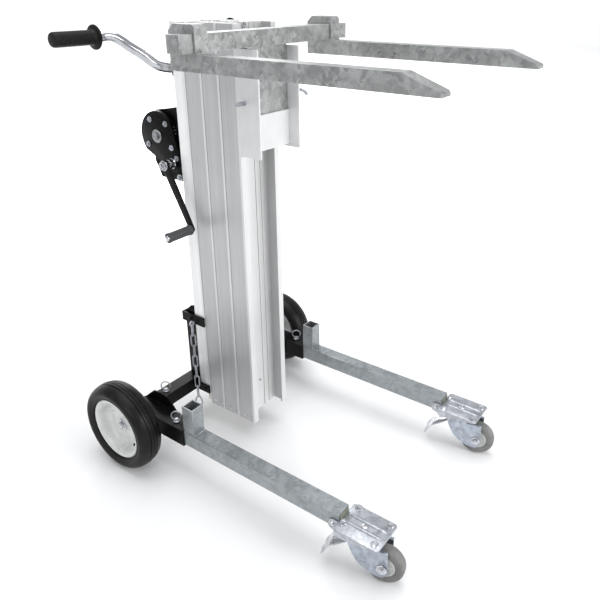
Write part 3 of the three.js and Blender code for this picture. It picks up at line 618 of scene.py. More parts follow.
# ------------------------------------------------------------------ dimensions shared with the CAD part (mm)
AXLE_Y, AXLE_Z, WHEEL_X = 250, 125, 333
CAX, CSY, CAY, CAZ = 260, -483, -531, 48.5
YAW = math.radians(12)          # the casters stand a little swivelled, about their king pins
DR_Y, DR_Z, SH_Y, SH_Z, GRIP_Y, GRIP_Z = 314, 864, 257, 799, 175, 639
YR = [178.8, 178.8 - 57.5, 178.8 - 115.0]
TOP = 1156

# ------------------------------------------------------------------ carried-over CAD nodes
keep_cad("axle_crossbeam", BLACK, 2.2, 3)
keep_cad("mast_post", BLACK, 1.4)
keep_cad("upper_mast_clamp", BLACK, 0.6)
keep_cad("lower_mast_clamp", BLACK, 0.6)
for s, _ in SIDES:
    keep_cad(f"{s}_side_sleeve", BLACK, 1.3, 3)
    keep_cad(f"{s}_leg", GALV, 2.4, 3)
    keep_cad(f"{s}_fork", GALV_FORK, 1.6, 3)
keep_cad("fork_frame", GALV_FORK, 1.8, 3)
keep_cad("mast_section_1", ANOD_S1, 0.5)
for i in (2, 3, 4):
    keep_cad(f"mast_section_{i}", ANOD, 0.45)
    keep_cad(f"slide_shoe_{i}", NYLON, 0.8)
keep_cad("carriage_slide_shoe", NYLON, 0.8)
keep_cad("carriage", WHITE, 0.8)
keep_cad("rear_sheave_bracket", STEEL, 0.8)
keep_cad("handlebar_bracket", BLACK, 0.9)
keep_cad("winch_plate", BLACK, 0.9)


# ------------------------------------------------------------------ rear wheels
def wheel(nm, s):
    c = (0, AXLE_Y, AXLE_Z)
    X = lambda a: s * (WHEEL_X + a)           # a > 0 is the outer side
    # tyre: carcass with shoulder, circumferential ribs and grooves
    half = [(87.3, 24), (88.2, 28.4), (90.6, 31.6), (93.4, 32.4), (94.2, 31.8), (95.6, 32.2), (99, 34.4), (103, 35.6), (107, 35.8), (110.6, 34.8), (114, 32.6), (117, 29.4), (119.6, 25.2), (121.6, 20.6), (123.1, 15.6), (123.9, 11.6), (124.1, 10.4),
            (122.0, 9.8), (121.9, 8.6), (124.4, 8.0), (124.9, 5.4), (125.0, 3.6), (124.9, 1.9), (123.6, 1.2)]
    prof = half + [(r, -a) for r, a in reversed(half)]
    bm = bmesh.new()
    lathe(bm, [(r, X(a)) for r, a in prof], c, "x", 144)
    finish(f"{nm}_tyre_tread", bm, TYRE, f"{nm}_wheel", 40, [f"{nm}_tyre"])
    # rim: pressed disc, rolled flanges, hub
    rp = [(10.6, 3.4), (14.6, 3.8), (16.6, 3.2), (17.4, 1.8), (18.2, -0.4), (20.4, -3.4), (24.6, -4.6), (30, -4.0), (34, -1.8), (38.4, -0.6), (43, -1.6), (48, -3.6), (54, -4.2), (59.6, -3.4), (64, -0.4), (67.4, 4.4), (69.8, 10.6), (71.6, 16.4), (73.4, 20.6), (76.4, 24.2), (79.6, 26.6),
          (82.6, 27.6), (85.4, 27.4), (87.0, 26.0), (87.1, 22), (84.8, 20.8), (81.0, 20.2), (79.4, 17), (78.8, 8), (78.8, -14), (79.6, -20.4), (84.8, -21), (87.1, -22), (87.0, -26.4), (84.6, -28.2), (80.2, -27.4), (77.2, -25), (74.0, -20), (68, -12.6), (60, -9.2), (52, -8.6), (44, -8.8), (36, -8.4),
          (28, -9.6), (21.0, -9.8), (18.4, -13), (17.6, -30), (16.6, -35.5), (14.0, -36.8), (10.6, -36.8)]
    bm = bmesh.new()
    lathe(bm, [(r, X(a)) for r, a in rp], c, "x", 96)
    # lug bosses pressed in the disc
    for k in range(5):
        t = 2 * math.pi * (k + 0.3) / 5
        y, z = AXLE_Y + 48 * math.cos(t), AXLE_Z + 48 * math.sin(t)
        lathe(bm, [(0, X(-4.6)), (6.8, X(-4.6)), (6.5, X(-2.2)), (5.4, X(-1.2)), (0, X(-1.0))], (0, y, z), "x", 20)
    finish(f"{nm}_rim_disc", bm, RIM, f"{nm}_wheel", 34, [f"{nm}_rim"])
    # tyre valve
    bm = bmesh.new()
    a = math.radians(205)
    y, z = AXLE_Y + 68 * math.cos(a), AXLE_Z + 68 * math.sin(a)
    rod(bm, (X(3), y, z), (X(15), y, z), 3.0, 20)
    rod(bm, (X(14.6), y, z), (X(20), y, z), 3.8, 20, 1)
    finish(f"{nm}_valve_cap", bm, GRIP, f"{nm}_wheel", 34)
    # bearing seal around the axle
    bm = bmesh.new()
    lathe(bm, [(10.6, X(2.6)), (10.6, X(3.9)), (13.4, X(4.1)), (14.4, X(3.4)), (14.4, X(2.6))], c, "x", 48)
    finish(f"{nm}_hub_seal", bm, STEEL, f"{nm}_wheel", 34)


for nm, s in SIDES:
    wheel(nm, s)

bm = bmesh.new()
rod(bm, (-338, AXLE_Y, AXLE_Z), (338, AXLE_Y, AXLE_Z), 10, 48, 0.8)
for s in (-1, 1):
    lathe(bm, [(0, 337.4 * s), (17.0, 337.4 * s), (17.5, 337.9 * s), (17.5, 339.0 * s), (17.0, 339.5 * s), (0, 339.5 * s)], (0, AXLE_Y, AXLE_Z), "x", 40)
    # domed cap nut
    lathe(bm, [(0, 339.3 * s), (12.0, 339.3 * s), (12.0, 342.4 * s), (11.2, 343.2 * s), (0, 343.2 * s)], (0, AXLE_Y, AXLE_Z), "x", 6, 0.4)
    lathe(bm, [(0, 343 * s), (9.6, 343 * s), (9.2, 344.6 * s), (7.6, 346 * s), (4.4, 346.8 * s), (0, 347 * s)], (0, AXLE_Y, AXLE_Z), "x", 40)
finish("rear_axle_bar", bm, CHROME, "root", 34, ["rear_axle"])


# ------------------------------------------------------------------ front casters
def caster(nm, s):
    x = s * CAX
    sw, wh = f"{nm}_swivel", f"{nm}_caster_wheel"
    zt = 133
    x0, x1 = x - 45, x + 45
    # bracket: pressed plate with rolled ribs, side ears on the leg, race
    bm = bmesh.new()
    pl = [(x0 + 5, -541), (x1 - 5, -541), (x1, -536), (x1, -431), (x1 - 5, -426.3), (x0 + 5, -426.3), (x0, -431), (x0, -536)]
    prism(bm, pl, "z", zt - 5, zt, 1.0, 2)
    for k in (-11.5, 11.5):
        rib = []
        for i in range(0, 9):
            t = math.pi * i / 8
            rib.append((x + k + 5.2 * math.cos(t), zt - 0.6 + 3.8 * math.sin(t)))
        # ribs with rounded ends
        ys = [-531, -529.5, -526, -520, -448, -442, -438.5, -437]
        sc = [0.12, 0.62, 0.9, 1.0, 1.0, 0.9, 0.62, 0.12]
        rows = []
        for yy, q in zip(ys, sc):
            rows.append([bm.verts.new((x + k + (p[0] - x - k) * q, yy, zt - 0.6 + (p[1] - zt + 0.6) * q)) for p in rib])
        for a in range(len(rows) - 1):
            for i in range(8):
                bm.faces.new((rows[a][i], rows[a][i + 1], rows[a + 1][i + 1], rows[a + 1][i]))
        for a in range(len(rows) - 1):
            bm.faces.new((rows[a][0], rows[a + 1][0], rows[a + 1][8], rows[a][8]))
        bm.faces.new(rows[0][::-1]); bm.faces.new(rows[-1])
    ear = [(-427, 131), (-462, 130.5), (-460.5, 126), (-455, 113), (-449.5, 104.5), (-440, 103.5), (-412, 103.5), (-404, 106), (-400.4, 112), (-400.4, 124), (-404, 130), (-412, 132.5)]
    for q in (-1, 1):
        xa, xb = (x + q * 20.3, x + q * 25.2)
        prism(bm, ear, "x", min(xa, xb), max(xa, xb), 0.8, 2)
        # side skirt turned down from the plate
        sk = [(-427, 131.5), (-538, 131.5), (-536, 126.5), (-500, 119.5), (-462, 113), (-440, 111), (-427, 112)]
        xs = x + q * 43.4
        prism(bm, sk, "x", min(xs, xs - q * 2.6) - 0.0, max(xs, xs - q * 2.6), 0.5, 1)
    box(bm, x - 25, x + 25, -430.5, -426.4, 104, 132, 0.8)
    lathe(bm, [(0, 128.4), (30, 128.4), (30.6, 127.6), (30.6, 123.4), (29.2, 121.2), (10, 121.0), (0, 121.0)], (x, CSY, 0), "z", 64)
    rod(bm, (x, CSY, 128), (x, CSY, 111.6), 5.8, 24)
    for q in (-1, 1):
        weld_bead(bm, (x + q * 25.6, -430, 129.2), (x + q * 25.6, -458, 127.6), 1.8)
    finish(f"{nm}_caster_bracket_shell", bm, ZINC, "root", 32, [f"{nm}_caster_bracket"])
    # bolts of the bracket
    bm = bmesh.new()
    for bx, by in ((-19, -436), (37, -443), (34, -526), (-30, -525)):
        bx = bx if s < 0 else -bx
        hexa(bm, (x + bx, by, zt), (0, 0, 1), 10, 5, True, rnd.random())
        rod(bm, (x + bx, by, zt + 5.5), (x + bx, by, zt + 8.4), 2.9, 18)
        hexa(bm, (x + bx, by, zt - 5), (0, 0, -1), 10, 5, False, rnd.random())
    for by, bz in ((-411, 121), (-440, 117)):
        for q in (-1, 1):
            d = x + q * 25.0
            lathe(bm, [(0, d), (7.6, d), (7.6, d + q * 1.2), (6.2, d + q * 3.4), (3.6, d + q * 5.0), (0, d + q * 5.6)], (0, by, bz), "x", 28)
    # domed king-pin head under the plate
    lathe(bm, [(0, 133), (9, 133), (8.6, 134.2), (6, 135.4), (0, 135.9)], (x, CSY, 0), "z", 32)
    finish(f"{nm}_bracket_bolts", bm, ZINC_BRIGHT, "root", 30)
    # fork: pressed from plate; each cheek curls in behind and carries a flat panel at the axle
    bm = bmesh.new()
    lathe(bm, [(6.6, 120.4), (24, 120.4), (27, 119.4), (28.2, 117), (28.2, 114.2), (27, 112.8), (6.6, 112.8)], (x, CSY, 0), "z", 64)
    prism(bm, [(x - 20.0, CSY - 17), (x + 20.0, CSY - 17), (x + 20.0, CSY + 10), (x + 12, CSY + 20), (x - 12, CSY + 20), (x - 20.0, CSY + 10)], "z", 109.8, 113.2, 1.2, 3)
    # lower edge of the cheek, from the back to the nose round the axle, then up the front edge
    low = [(CSY + 38, 97), (CSY + 34, 83), (CSY + 26, 66), (CSY + 15, 50), (CSY + 2, 38), (CSY - 12, 29.5), (CSY - 26, 25), (CAY + 6, 23.5), (CAY - 2, 25), (CAY - 8, 29.5), (CAY - 12, 36), (CAY - 13, 43)]
    cols = [CSY + 38, CSY + 36, CSY + 33, CSY + 29, CSY + 24, CSY + 18, CSY + 16, CSY + 12, CSY + 6, CSY - 1, CSY - 9, CSY - 17, CSY - 20, CSY - 22, CSY - 26, CSY - 32, CSY - 38, CAY + 5, CAY, CAY - 5, CAY - 9, CAY - 12, CAY - 13]
    def zlow(yy):
        for (ya, za), (yb, zb) in zip(low, low[1:]):
            if yb <= yy <= ya:
                return za + (zb - za) * (ya - yy) / (ya - yb)
        return low[-1][1] if yy < low[-1][0] else low[0][1]
    for q in (-1, 1):
        def xo(yy):
            if yy > CSY + 4:                 # curls in round the king pin
                return math.sqrt(max(0.0, 20.4 ** 2 - ((yy - CSY - 4) * 0.40) ** 2))
            if yy < CSY - 20:                # flat front panel stands a little proud
                return 21.9
            if yy < CSY - 17:
                return 20.4 + 1.5 * (CSY - 17 - yy) / 3
            return 20.4
        t = 2.8
        outer, inner = [], []
        for yy in cols:
            zt2 = 101.2 if yy > CSY + 17 else 111.6 if yy > CSY - 20 else 101.0
            z0 = zlow(yy)
            ro, ri = [], []
            for k in range(9):
                z = z0 + (zt2 - z0) * k / 8
                ro.append(bm.verts.new((x + q * xo(yy), yy, z)))
                ri.append(bm.verts.new((x + q * (xo(yy) - t), yy, z)))
            outer.append(ro); inner.append(ri)
        n = len(cols)
        for i in range(n - 1):
            for k in range(8):
                bm.faces.new((outer[i][k], outer[i][k + 1], outer[i + 1][k + 1], outer[i + 1][k]))
                bm.faces.new((inner[i][k + 1], inner[i][k], inner[i + 1][k], inner[i + 1][k + 1]))
            bm.faces.new((outer[i][0], outer[i + 1][0], inner[i + 1][0], inner[i][0]))
            bm.faces.new((outer[i + 1][8], outer[i][8], inner[i][8], inner[i + 1][8]))
        for e in (0, n - 1):
            for k in range(8):
                bm.faces.new((outer[e][k], inner[e][k], inner[e][k + 1], outer[e][k + 1]) if e == 0 else (outer[e][k + 1], inner[e][k + 1], inner[e][k], outer[e][k]))
        # turned ledge along the top of the panel
        box(bm, *(sorted((x + q * 18.6, x + q * 25.6))), CAY - 13, CSY - 21, 98.6, 101.4, 1.1, 3)
        # pressed boss round the axle bolt
        lathe(bm, [(0, x + q * 21.6), (11.5, x + q * 21.6), (10.2, x + q * 22.8), (0, x + q * 23.0)], (0, CAY, CAZ), "x", 36)
    # bridge over the wheel between the panels
    box(bm, x - 20.2, x + 20.2, CSY - 33, CSY - 18.6, 98.8, 101.4, 0.8, 2)
    finish(f"{nm}_caster_fork_shell", bm, ZINC_BLUE, sw, 32, [f"{nm}_caster_fork"], yaw_x=x)
    bm = bmesh.new()
    rod(bm, (x - 22.5, CAY, CAZ), (x + 22.5, CAY, CAZ), 5, 28)
    hexa(bm, (x + 22.6, CAY, CAZ), (1, 0, 0), 13, 6.0, True, 0.2)
    hexa(bm, (x - 22.6, CAY, CAZ), (-1, 0, 0), 13, 6.0, True, 0.5)
    finish(f"{nm}_caster_axle_bolt", bm, ZINC_BRIGHT, sw, 30, yaw_x=x)
    # wheel: tread, core and hub as one turned wheel with separate tread piece
    tr = [(27.5, -11.6), (29, -13.0), (34, -13.8), (41.6, -13.8), (45.0, -12.6), (47.2, -9.8), (48.3, -6), (48.5, 0), (48.3, 6), (47.2, 9.8), (45.0, 12.6), (41.6, 13.8), (34, 13.8), (29, 13.0), (27.5, 11.6)]
    bm = bmesh.new()
    lathe(bm, [(r, x + a) for r, a in tr], (0, CAY, CAZ), "x", 96)
    finish(f"{nm}_caster_tread", bm, TREAD, wh, 34, [f"{nm}_caster_wheel"], yaw_x=x)
    hb = [(5.6, 14.6), (9.0, 14.8), (10.6, 14.2), (11.4, 12.4), (12.6, 9.2), (16, 8.0), (21, 8.4), (24.4, 10.8), (26.2, 13.0), (27.8, 13.3), (28.4, 12)]
    bm = bmesh.new()
    lathe(bm, [(r, x + a) for r, a in hb] + [(r, x - a) for r, a in reversed(hb)], (0, CAY, CAZ), "x", 72)
    for k in range(6):
        t = 2 * math.pi * k / 6
        for q in (-1, 1):
            y0, z0 = CAY + 12 * math.cos(t), CAZ + 12 * math.sin(t)
            y1, z1 = CAY + 24.5 * math.cos(t), CAZ + 24.5 * math.sin(t)
            sweep(bm, [(x + q * 8.6, y0, z0), (x + q * 8.6, y1, z1)], 1.7, 10)
    finish(f"{nm}_caster_hub", bm, HUBWHITE, wh, 34, yaw_x=x)
    # brake pedal: pressed tab with a rolled end and grip ribs
    py, pz = CSY + 8, 96
    prof = [(py - 7, pz + 1), (py - 3, pz + 5), (py + 8, pz + 4), (py + 26, pz - 6), (py + 46, pz - 17), (py + 64, pz - 24), (py + 78, pz - 38), (py + 89, pz - 58), (py + 90, pz - 61)]
    n = len(prof)
    bm = bmesh.new()
    wid = [10.5, 11.4, 11.6, 11.4, 17, 24.0, 25.5, 25.0, 21]
    top, bot = [], []
    for (yy, zz), w in zip(prof, wid):
        top.append((bm.verts.new((x - w, yy, zz)), bm.verts.new((x, yy, zz + 1.4)), bm.verts.new((x + w, yy, zz))))
        bot.append((bm.verts.new((x - w, yy - 0.8, zz - 3)), bm.verts.new((x, yy - 0.8, zz - 1.6)), bm.verts.new((x + w, yy - 0.8, zz - 3))))
    for i in range(n - 1):
        for k in range(2):
            bm.faces.new((top[i][k], top[i][k + 1], top[i + 1][k + 1], top[i + 1][k]))
            bm.faces.new((bot[i][k + 1], bot[i][k], bot[i + 1][k], bot[i + 1][k + 1]))
        bm.faces.new((top[i][0], top[i + 1][0], bot[i + 1][0], bot[i][0]))
        bm.faces.new((top[i + 1][2], top[i][2], bot[i][2], bot[i + 1][2]))
    for e in (0, n - 1):
        for k in range(2):
            bm.faces.new((top[e][k], bot[e][k], bot[e][k + 1], top[e][k + 1]) if e == 0 else (top[e][k + 1], bot[e][k + 1], bot[e][k], top[e][k]))
    bmesh.ops.recalc_face_normals(bm, faces=bm.faces[:])
    bmesh.ops.subdivide_edges(bm, edges=bm.edges[:], cuts=1, use_grid_fill=True, smooth=0.6)
    for k in range(4):
        yy = py + 67 + 6.0 * k
        zz = pz - (26.0, 33.0, 40.4, 51.2)[k]
        sweep(bm, [(x - 18, yy, zz), (x - 17, yy, zz + 1.3), (x + 17, yy, zz + 1.3), (x + 18, yy, zz)], 1.5, 10)
    rod(bm, (x - 14.6, py, pz), (x + 14.6, py, pz), 4, 20)
    finish(f"{nm}_brake_pedal_tab", bm, ZINC_BRIGHT, f"{nm}_pedal", 40, [f"{nm}_brake_pedal"], yaw_x=x)


for nm, s in SIDES:
    caster(nm, s)


# ------------------------------------------------------------------ legs: end plugs, weld at the stub, bolts
for nm, s in SIDES:
    bm = bmesh.new()
    x = s * 260
    box(bm, x - 17, x + 17, -428.0, -426.0, 111, 145, 0.8)
    finish(f"{nm}_leg_end_plug", bm, OLIVE, "root", 34)
    bm = bmesh.new()
    for a, b in (((x - 19, 29.6, 148.4), (x + 19, 29.6, 148.4)), ((x - 19.6, 67.6, 148.4), (x + 19.6, 67.6, 148.4)), ((x - 19.6, 31, 148.4), (x - 19.6, 66, 148.4)), ((x + 19.6, 31, 148.4), (x + 19.6, 66, 148.4))):
        weld_bead(bm, a, b, 1.9)
    finish(f"{nm}_leg_stub_weld", bm, GALV, "root", 40)
    # bolt through the sleeve into the axle block
    bm = bmesh.new()
    hexa(bm, (s * 232.2, 190, 168), (-s, 0, 0), 13, 6.5, True, 0.6)
    hexa(bm, (s * 284.8, 232, 128), (s, 0, 0), 13, 6.0, True, 0.1)
    finish(f"{nm}_sleeve_bolts", bm, BLACK_SATIN, "root", 30)
    # welds between the sleeve and its gusset and the crossbeam
    bm = bmesh.new()
    xi = s * 236
    weld_bead(bm, (xi, 142, 152.6), (xi, 268, 152.6), 2.0)
    for yy, zz in ((230, 146), (270, 146)):
        weld_bead(bm, (s * 232.4, yy, 106), (s * 232.4, yy, 144), 2.0)
    weld_bead(bm, (s * 232.4, 231, 145.4), (s * 232.4, 269, 145.4), 2.0)
    finish(f"{nm}_sleeve_welds", bm, BLACK, "root", 40)


# ------------------------------------------------------------------ ring pins
def ring_pin(nm, body, x, y, zseat, stem_r, z_low, tilt):
    bm = bmesh.new()
    rod(bm, (x, y, z_low), (x, y, zseat + 2), stem_r, 24, 1.2)
    lathe(bm, [(0, zseat + 0.3), (8.6, zseat + 0.3), (9, zseat + 0.8), (9, zseat + 2.2), (8.0, zseat + 3.0), (5.6, zseat + 3.4), (5.2, zseat + 6.6), (4.2, zseat + 7.6), (0, zseat + 8.0)], (x, y, 0), "z", 32)
    pts = []
    R = 13.2
    for i in range(40):
        t = 2 * math.pi * i / 40
        dy, dz = R * math.cos(t), R * math.sin(t)
        pts.append((x + dy * math.sin(tilt), y + dy * math.cos(tilt), zseat + 17.6 + dz))
    sweep(bm, pts, 1.6, 14, closed=True)
    return finish(f"{nm}_pull", bm, ZINC, body, 34, [nm])


for nm, s in SIDES:
    ring_pin(f"{nm}_leg_pin", f"{nm}_leg_pin", s * 263, 113, 152.3, 4.8, 98, -0.62)
    ring_pin(f"{nm}_axle_pin", f"{nm}_axle_pin", s * 179, 250, 145, 4.0, 136, -0.62)


# ------------------------------------------------------------------ mast details
def screw(bm, p, d, r=3.6, h=1.6):
    d = Vector(d).normalized()
    u = d.orthogonal().normalized()
    v = d.cross(u)
    lathe(bm, [(0, -0.4), (r, -0.4), (r, h * 0.45), (r * 0.86, h * 0.85), (r * 0.5, h), (1.5, h), (1.3, h * 0.45), (0, h * 0.45)], Vector(p), (d, u, v), 24)


for i, yr in enumerate(YR):
    body = f"section_{i + 2}"
    yf = yr - 56.5
    bm = bmesh.new()
    for s in (-1, 1):
        for yy in (yf + 10, yr - 20):
            screw(bm, (s * 71, yy, 85), (s, 0, 0), 4.6, 2.6)
    finish(f"section_{i + 2}_screws", bm, ZINC_BRIGHT, body, 34)
bm = bmesh.new()
screw(bm, (0, YR[2] - 19.8, 165), (0, -1, 0), 3.4, 1.8)
finish("section_4_web_screw", bm, STEEL, "section_4", 34)

# clamp bolts
bm = bmesh.new()
for s in (-1, 1):
    hexa(bm, (s * 77, 232, 344), (s, 0, 0), 10, 5, True, 0.3)
    hexa(bm, (s * 77, 196, 116), (s, 0, 0), 8, 3.6, False, 0.7)
    hexa(bm, (s * 40, 267.5, 344), (0, 1, 0), 13, 6, True, 0.4)
finish("clamp_bolts", bm, BLACK_SATIN, "root", 30)


# sheaves: turned wheel and pin
def sheave(nm, body, y, z, R, w, root_r):
    bm = bmesh.new()
    h = [(4.2, w), (8, w), (8.4, w - 0.6), (9.2, 3.4), (root_r - 2.5, 3.0), (R - 1.2, w - 0.4), (R, w - 1.2), (R - 0.6, w - 2.0)]
    groove = []
    for k in range(7):
        t = math.pi * (0.5 + 1.0 * k / 6)
        groove.append((root_r + 2.4 + 2.5 * math.cos(t), 2.5 * math.sin(t)))
    prof = h + groove + [(r, -a) for r, a in reversed(h)]
    lathe(bm, prof, (0, y, z), "x", 72)
    rod(bm, (-23.5, y, z), (23.5, y, z), 4, 24)
    finish(f"{nm}_wheel", bm, STEEL, body, 34, [nm])


sheave("top_sheave_1", "sheave_1", 232, 1118, 34, 7, 28)
for i, yr in enumerate(YR):
    sheave(f"top_sheave_{i + 2}", f"sheave_{i + 2}", yr - 9.8, TOP - 24, 18, 6, 12)


# ------------------------------------------------------------------ wire rope: six strands laid round the rope's axis
def rope(bm, p0, p1, R=2.4, pitch=26, segs=8, per=14):
    p0, p1 = Vector(p0), Vector(p1)
    d = (p1 - p0).normalized()
    u = d.orthogonal().normalized()
    v = d.cross(u)
    L = (p1 - p0).length
    rs = R * 0.36
    rc = R - rs
    n = max(4, int(L / pitch * per))
    for k in range(6):
        pts = []
        for i in range(n + 1):
            a = L * i / n
            t = 2 * math.pi * (a / pitch + k / 6)
            pts.append(p0 + d * a + (u * math.cos(t) + v * math.sin(t)) * rc)
        sweep(bm, pts, rs, segs)
    return bm


bm = bmesh.new()
rope(bm, (0, 232 + 30.6, 1114), (0, DR_Y - 34.4, 872))
finish("rope_winch_run", bm, ROPE, "root", 60, ["hoist_cable_winch"])
# around the rear sheave
bm = bmesh.new()
pts = [(0, 232 + 30.4 * math.cos(math.radians(a)), 1118 + 30.4 * math.sin(math.radians(a))) for a in range(-6, 187, 4)]
sweep(bm, pts, 2.35, 14)
finish("rope_over_sheave", bm, ROPE, "root", 60)


def rope_run(nm, replaces, y, z0, z1, body, L_full):
    bm = bmesh.new()
    rope(bm, (0, y, z0), (0, y, z1), 2.35, 30, 6, 8)
    o = finish(nm, bm, ROPE, None, 60, [replaces])
    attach(o, body)
    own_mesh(o)
    return o


rope_run("rope_run_1", "hoist_cable_1", 200.8, 131, 1110, "root", 0)
rope_run("rope_run_2", "hoist_cable_2", YR[0] - 24.7, 131, 1127, "section_2", 0)
rope_run("rope_run_3", "hoist_cable_3", YR[1] - 24.7, 131, 1127, "section_3", 0)
# last run stretches between the top of section 4 and the carriage
bm = bmesh.new()
rope(bm, (0, YR[2] - 24.7, 1022), (0, YR[2] - 24.7, 1127), 2.35, 30, 6, 24)
ro = finish("rope_run_4", bm, ROPE, None, 60, ["hoist_cable_4"])
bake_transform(ro)


# ------------------------------------------------------------------ handlebar and grips
BARP = [(0, 243, 1044), (57, 243, 1044), (80, 246, 1048.5), (98, 250, 1055), (117, 258, 1071), (134, 266.5, 1086), (150, 275, 1098), (166, 285, 1113), (183, 293, 1123.5), (201, 299, 1125.5), (212, 300, 1124), (217, 300, 1124), (223, 300, 1124), (250, 300, 1124), (329, 300, 1124)]
full = [(-a, b, c) for a, b, c in BARP[:0:-1]] + [(-30, 243, 1044), (0, 243, 1044), (30, 243, 1044)] + BARP[1:]
bm = bmesh.new()
sweep(bm, smooth_path(full, 190), 12.5, 40)
finish("handlebar_tube", bm, CHROME, "root", 50, ["handlebar"])
for nm, s in SIDES:
    prof = [(12.9, 224), (20, 224), (26.5, 224.4), (28.0, 225.8), (28.0, 227.6), (26.5, 229.0), (21, 230.2), (18.2, 232), (17.0, 235)]
    a = 238.0
    while a < 322:
        prof += [(16.9, a), (16.9, a + 3.2), (16.2, a + 3.9), (16.2, a + 5.3), (16.9, a + 6.0)]
        a += 6.4
    prof += [(16.9, 328), (16.4, 332), (14.6, 334.8), (11, 335.8), (0, 336), (0, 331), (12.9, 330.8)]
    bm = bmesh.new()
    body_prof = [(0, 330.9), (12.9, 330.8)] + prof[:-2]
    lathe(bm, [(r, s * q) for r, q in body_prof], (0, 300, 1124), "x", 64)
    finish(f"{nm}_grip_sleeve", bm, GRIP, "root", 30, [f"{nm}_grip"])
bm = bmesh.new()
for s in (-1, 1):
    for zz in (1030, 1058):
        hexa(bm, (s * 20, 225.3, zz), (0, 1, 0), 10, 5, True, 0.3)
    hexa(bm, (s * 42.2, 250, 1028.5), (s, 0, 0), 8, 4, True, 0.3)
finish("handlebar_bolts", bm, ZINC, "root", 30)


# ------------------------------------------------------------------ winch
def drum_shell():
    # sheet-metal hood over the drum: swept arc with turned rims
    bm = bmesh.new()
    a0, a1, n = -52, 112, 56
    rows = []
    for i in range(n + 1):
        t = math.radians(a0 + (a1 - a0) * i / n)
        row = []
        for (r, x) in [(64.0, -40.2), (66.0, -39.4), (66.0, -37.2), (65.0, -36.0), (65.0, 36.0), (66.0, 37.2), (66.0, 39.4), (64.0, 40.2), (62.4, 39.0), (62.4, -39.0)]:
            row.append(bm.verts.new((x, DR_Y + r * math.cos(t), DR_Z + r * math.sin(t))))
        rows.append(row)
    k = len(rows[0])
    for i in range(n):
        for j in range(k):
            bm.faces.new((rows[i][j], rows[i][(j + 1) % k], rows[i + 1][(j + 1) % k], rows[i + 1][j]))
    bm.faces.new(rows[0][::-1]); bm.faces.new(rows[-1])
    # end discs
    for x0, x1 in ((-40, -37.6), (37.6, 40)):
        pts = arc(DR_Y, DR_Z, 62.6, a0, a1, 40) + [(DR_Y - 22, DR_Z + 54), (DR_Y - 22, DR_Z - 48)]
        prism(bm, pts, "x", x0, x1, 0.4, 1)
    return finish("winch_drum_hood", bm, BLACK, "root", 32, ["winch_drum_cover"])


drum_shell()
bm = bmesh.new()
L = math.hypot(DR_Y - SH_Y, DR_Z - SH_Z)
ny, nz = -(DR_Z - SH_Z) / L, (DR_Y - SH_Y) / L
ang = math.degrees(math.atan2(nz, ny))
outl = arc(DR_Y, DR_Z, 66, ang - 180, ang, 60)[::1] + arc(SH_Y, SH_Z, 28, ang, ang + 180, 28)
prism(bm, outl, "x", -62, -46.4, 2.4, 4)
# raised rim step and pressed feet
inner = arc(DR_Y, DR_Z, 57, ang - 180, ang, 60) + arc(SH_Y, SH_Z, 20, ang, ang + 180, 24)
prism(bm, inner, "x", -63.6, -60.5, 1.2, 3)
box(bm, -61.5, -46.6, 233, 298, 752, 792, 1.6, 3)
finish("winch_gear_case", bm, BLACK, "root", 32, ["winch_gear_cover"])
bm = bmesh.new()
# gear case bolts
for yy, zz in ((278, 900), (262, 838.6), (246, 812), (352, 838), (338, 906)):
    hexa(bm, (-63.4, yy, zz), (-1, 0, 0), 8, 4.2, True, rnd.random())
for yy, zz in ((242, 760), (288, 760)):
    hexa(bm, (-61.5, yy, zz), (-1, 0, 0), 10, 5, True, 0.3)
finish("winch_case_bolts", bm, ZINC, "root", 30)

# drum with layers of rope, its flanges, shaft and gear
bm = bmesh.new()
lathe(bm, [(0, -37), (53.2, -37), (54, -36.4), (54, -34.6), (53.2, -34), (32, -33.4), (32, 33.4), (53.2, 34), (54, 34.6), (54, 36.4), (53.2, 37), (0, 37)], (0, DR_Y, DR_Z), "x", 72)
rod(bm, (-69, DR_Y, DR_Z), (52, DR_Y, DR_Z), 6, 32)
lathe(bm, [(0, -64.0), (17.5, -64.0), (18, -64.5), (18, -65.6), (16.8, -66.6), (12.6, -66.9), (0, -66.9)], (0, DR_Y, DR_Z), "x", 40)
hexa(bm, (-66.8, DR_Y, DR_Z), (-1, 0, 0), 19, 6, False, 0.3)
hexa(bm, (52, DR_Y, DR_Z), (1, 0, 0), 19, 6, True, 0.2)
# spur gear
pts = []
for i in range(44):
    for f, q in ((0, 58), (0.3, 58), (0.40, 60.6), (0.5, 61.9), (0.8, 61.9), (0.90, 60.6)):
        a = 2 * math.pi * (i + f) / 44
        pts.append((DR_Y + q * math.cos(a), DR_Z + q * math.sin(a)))
prism(bm, pts, "x", -54, -48, 0, 1)
finish("cable_drum_body", bm, STEEL, "drum", 34, ["cable_drum"])
bm = bmesh.new()
for k in range(13):
    xk = -30.6 + 5.1 * k
    lathe(bm, [(34.4 + 2.4 * math.cos(2 * math.pi * i / 12), xk + 2.4 * math.sin(2 * math.pi * i / 12)) for i in range(12)], (0, DR_Y, DR_Z), "x", 64)
finish("cable_drum_turns", bm, ROPE, "drum", 60)

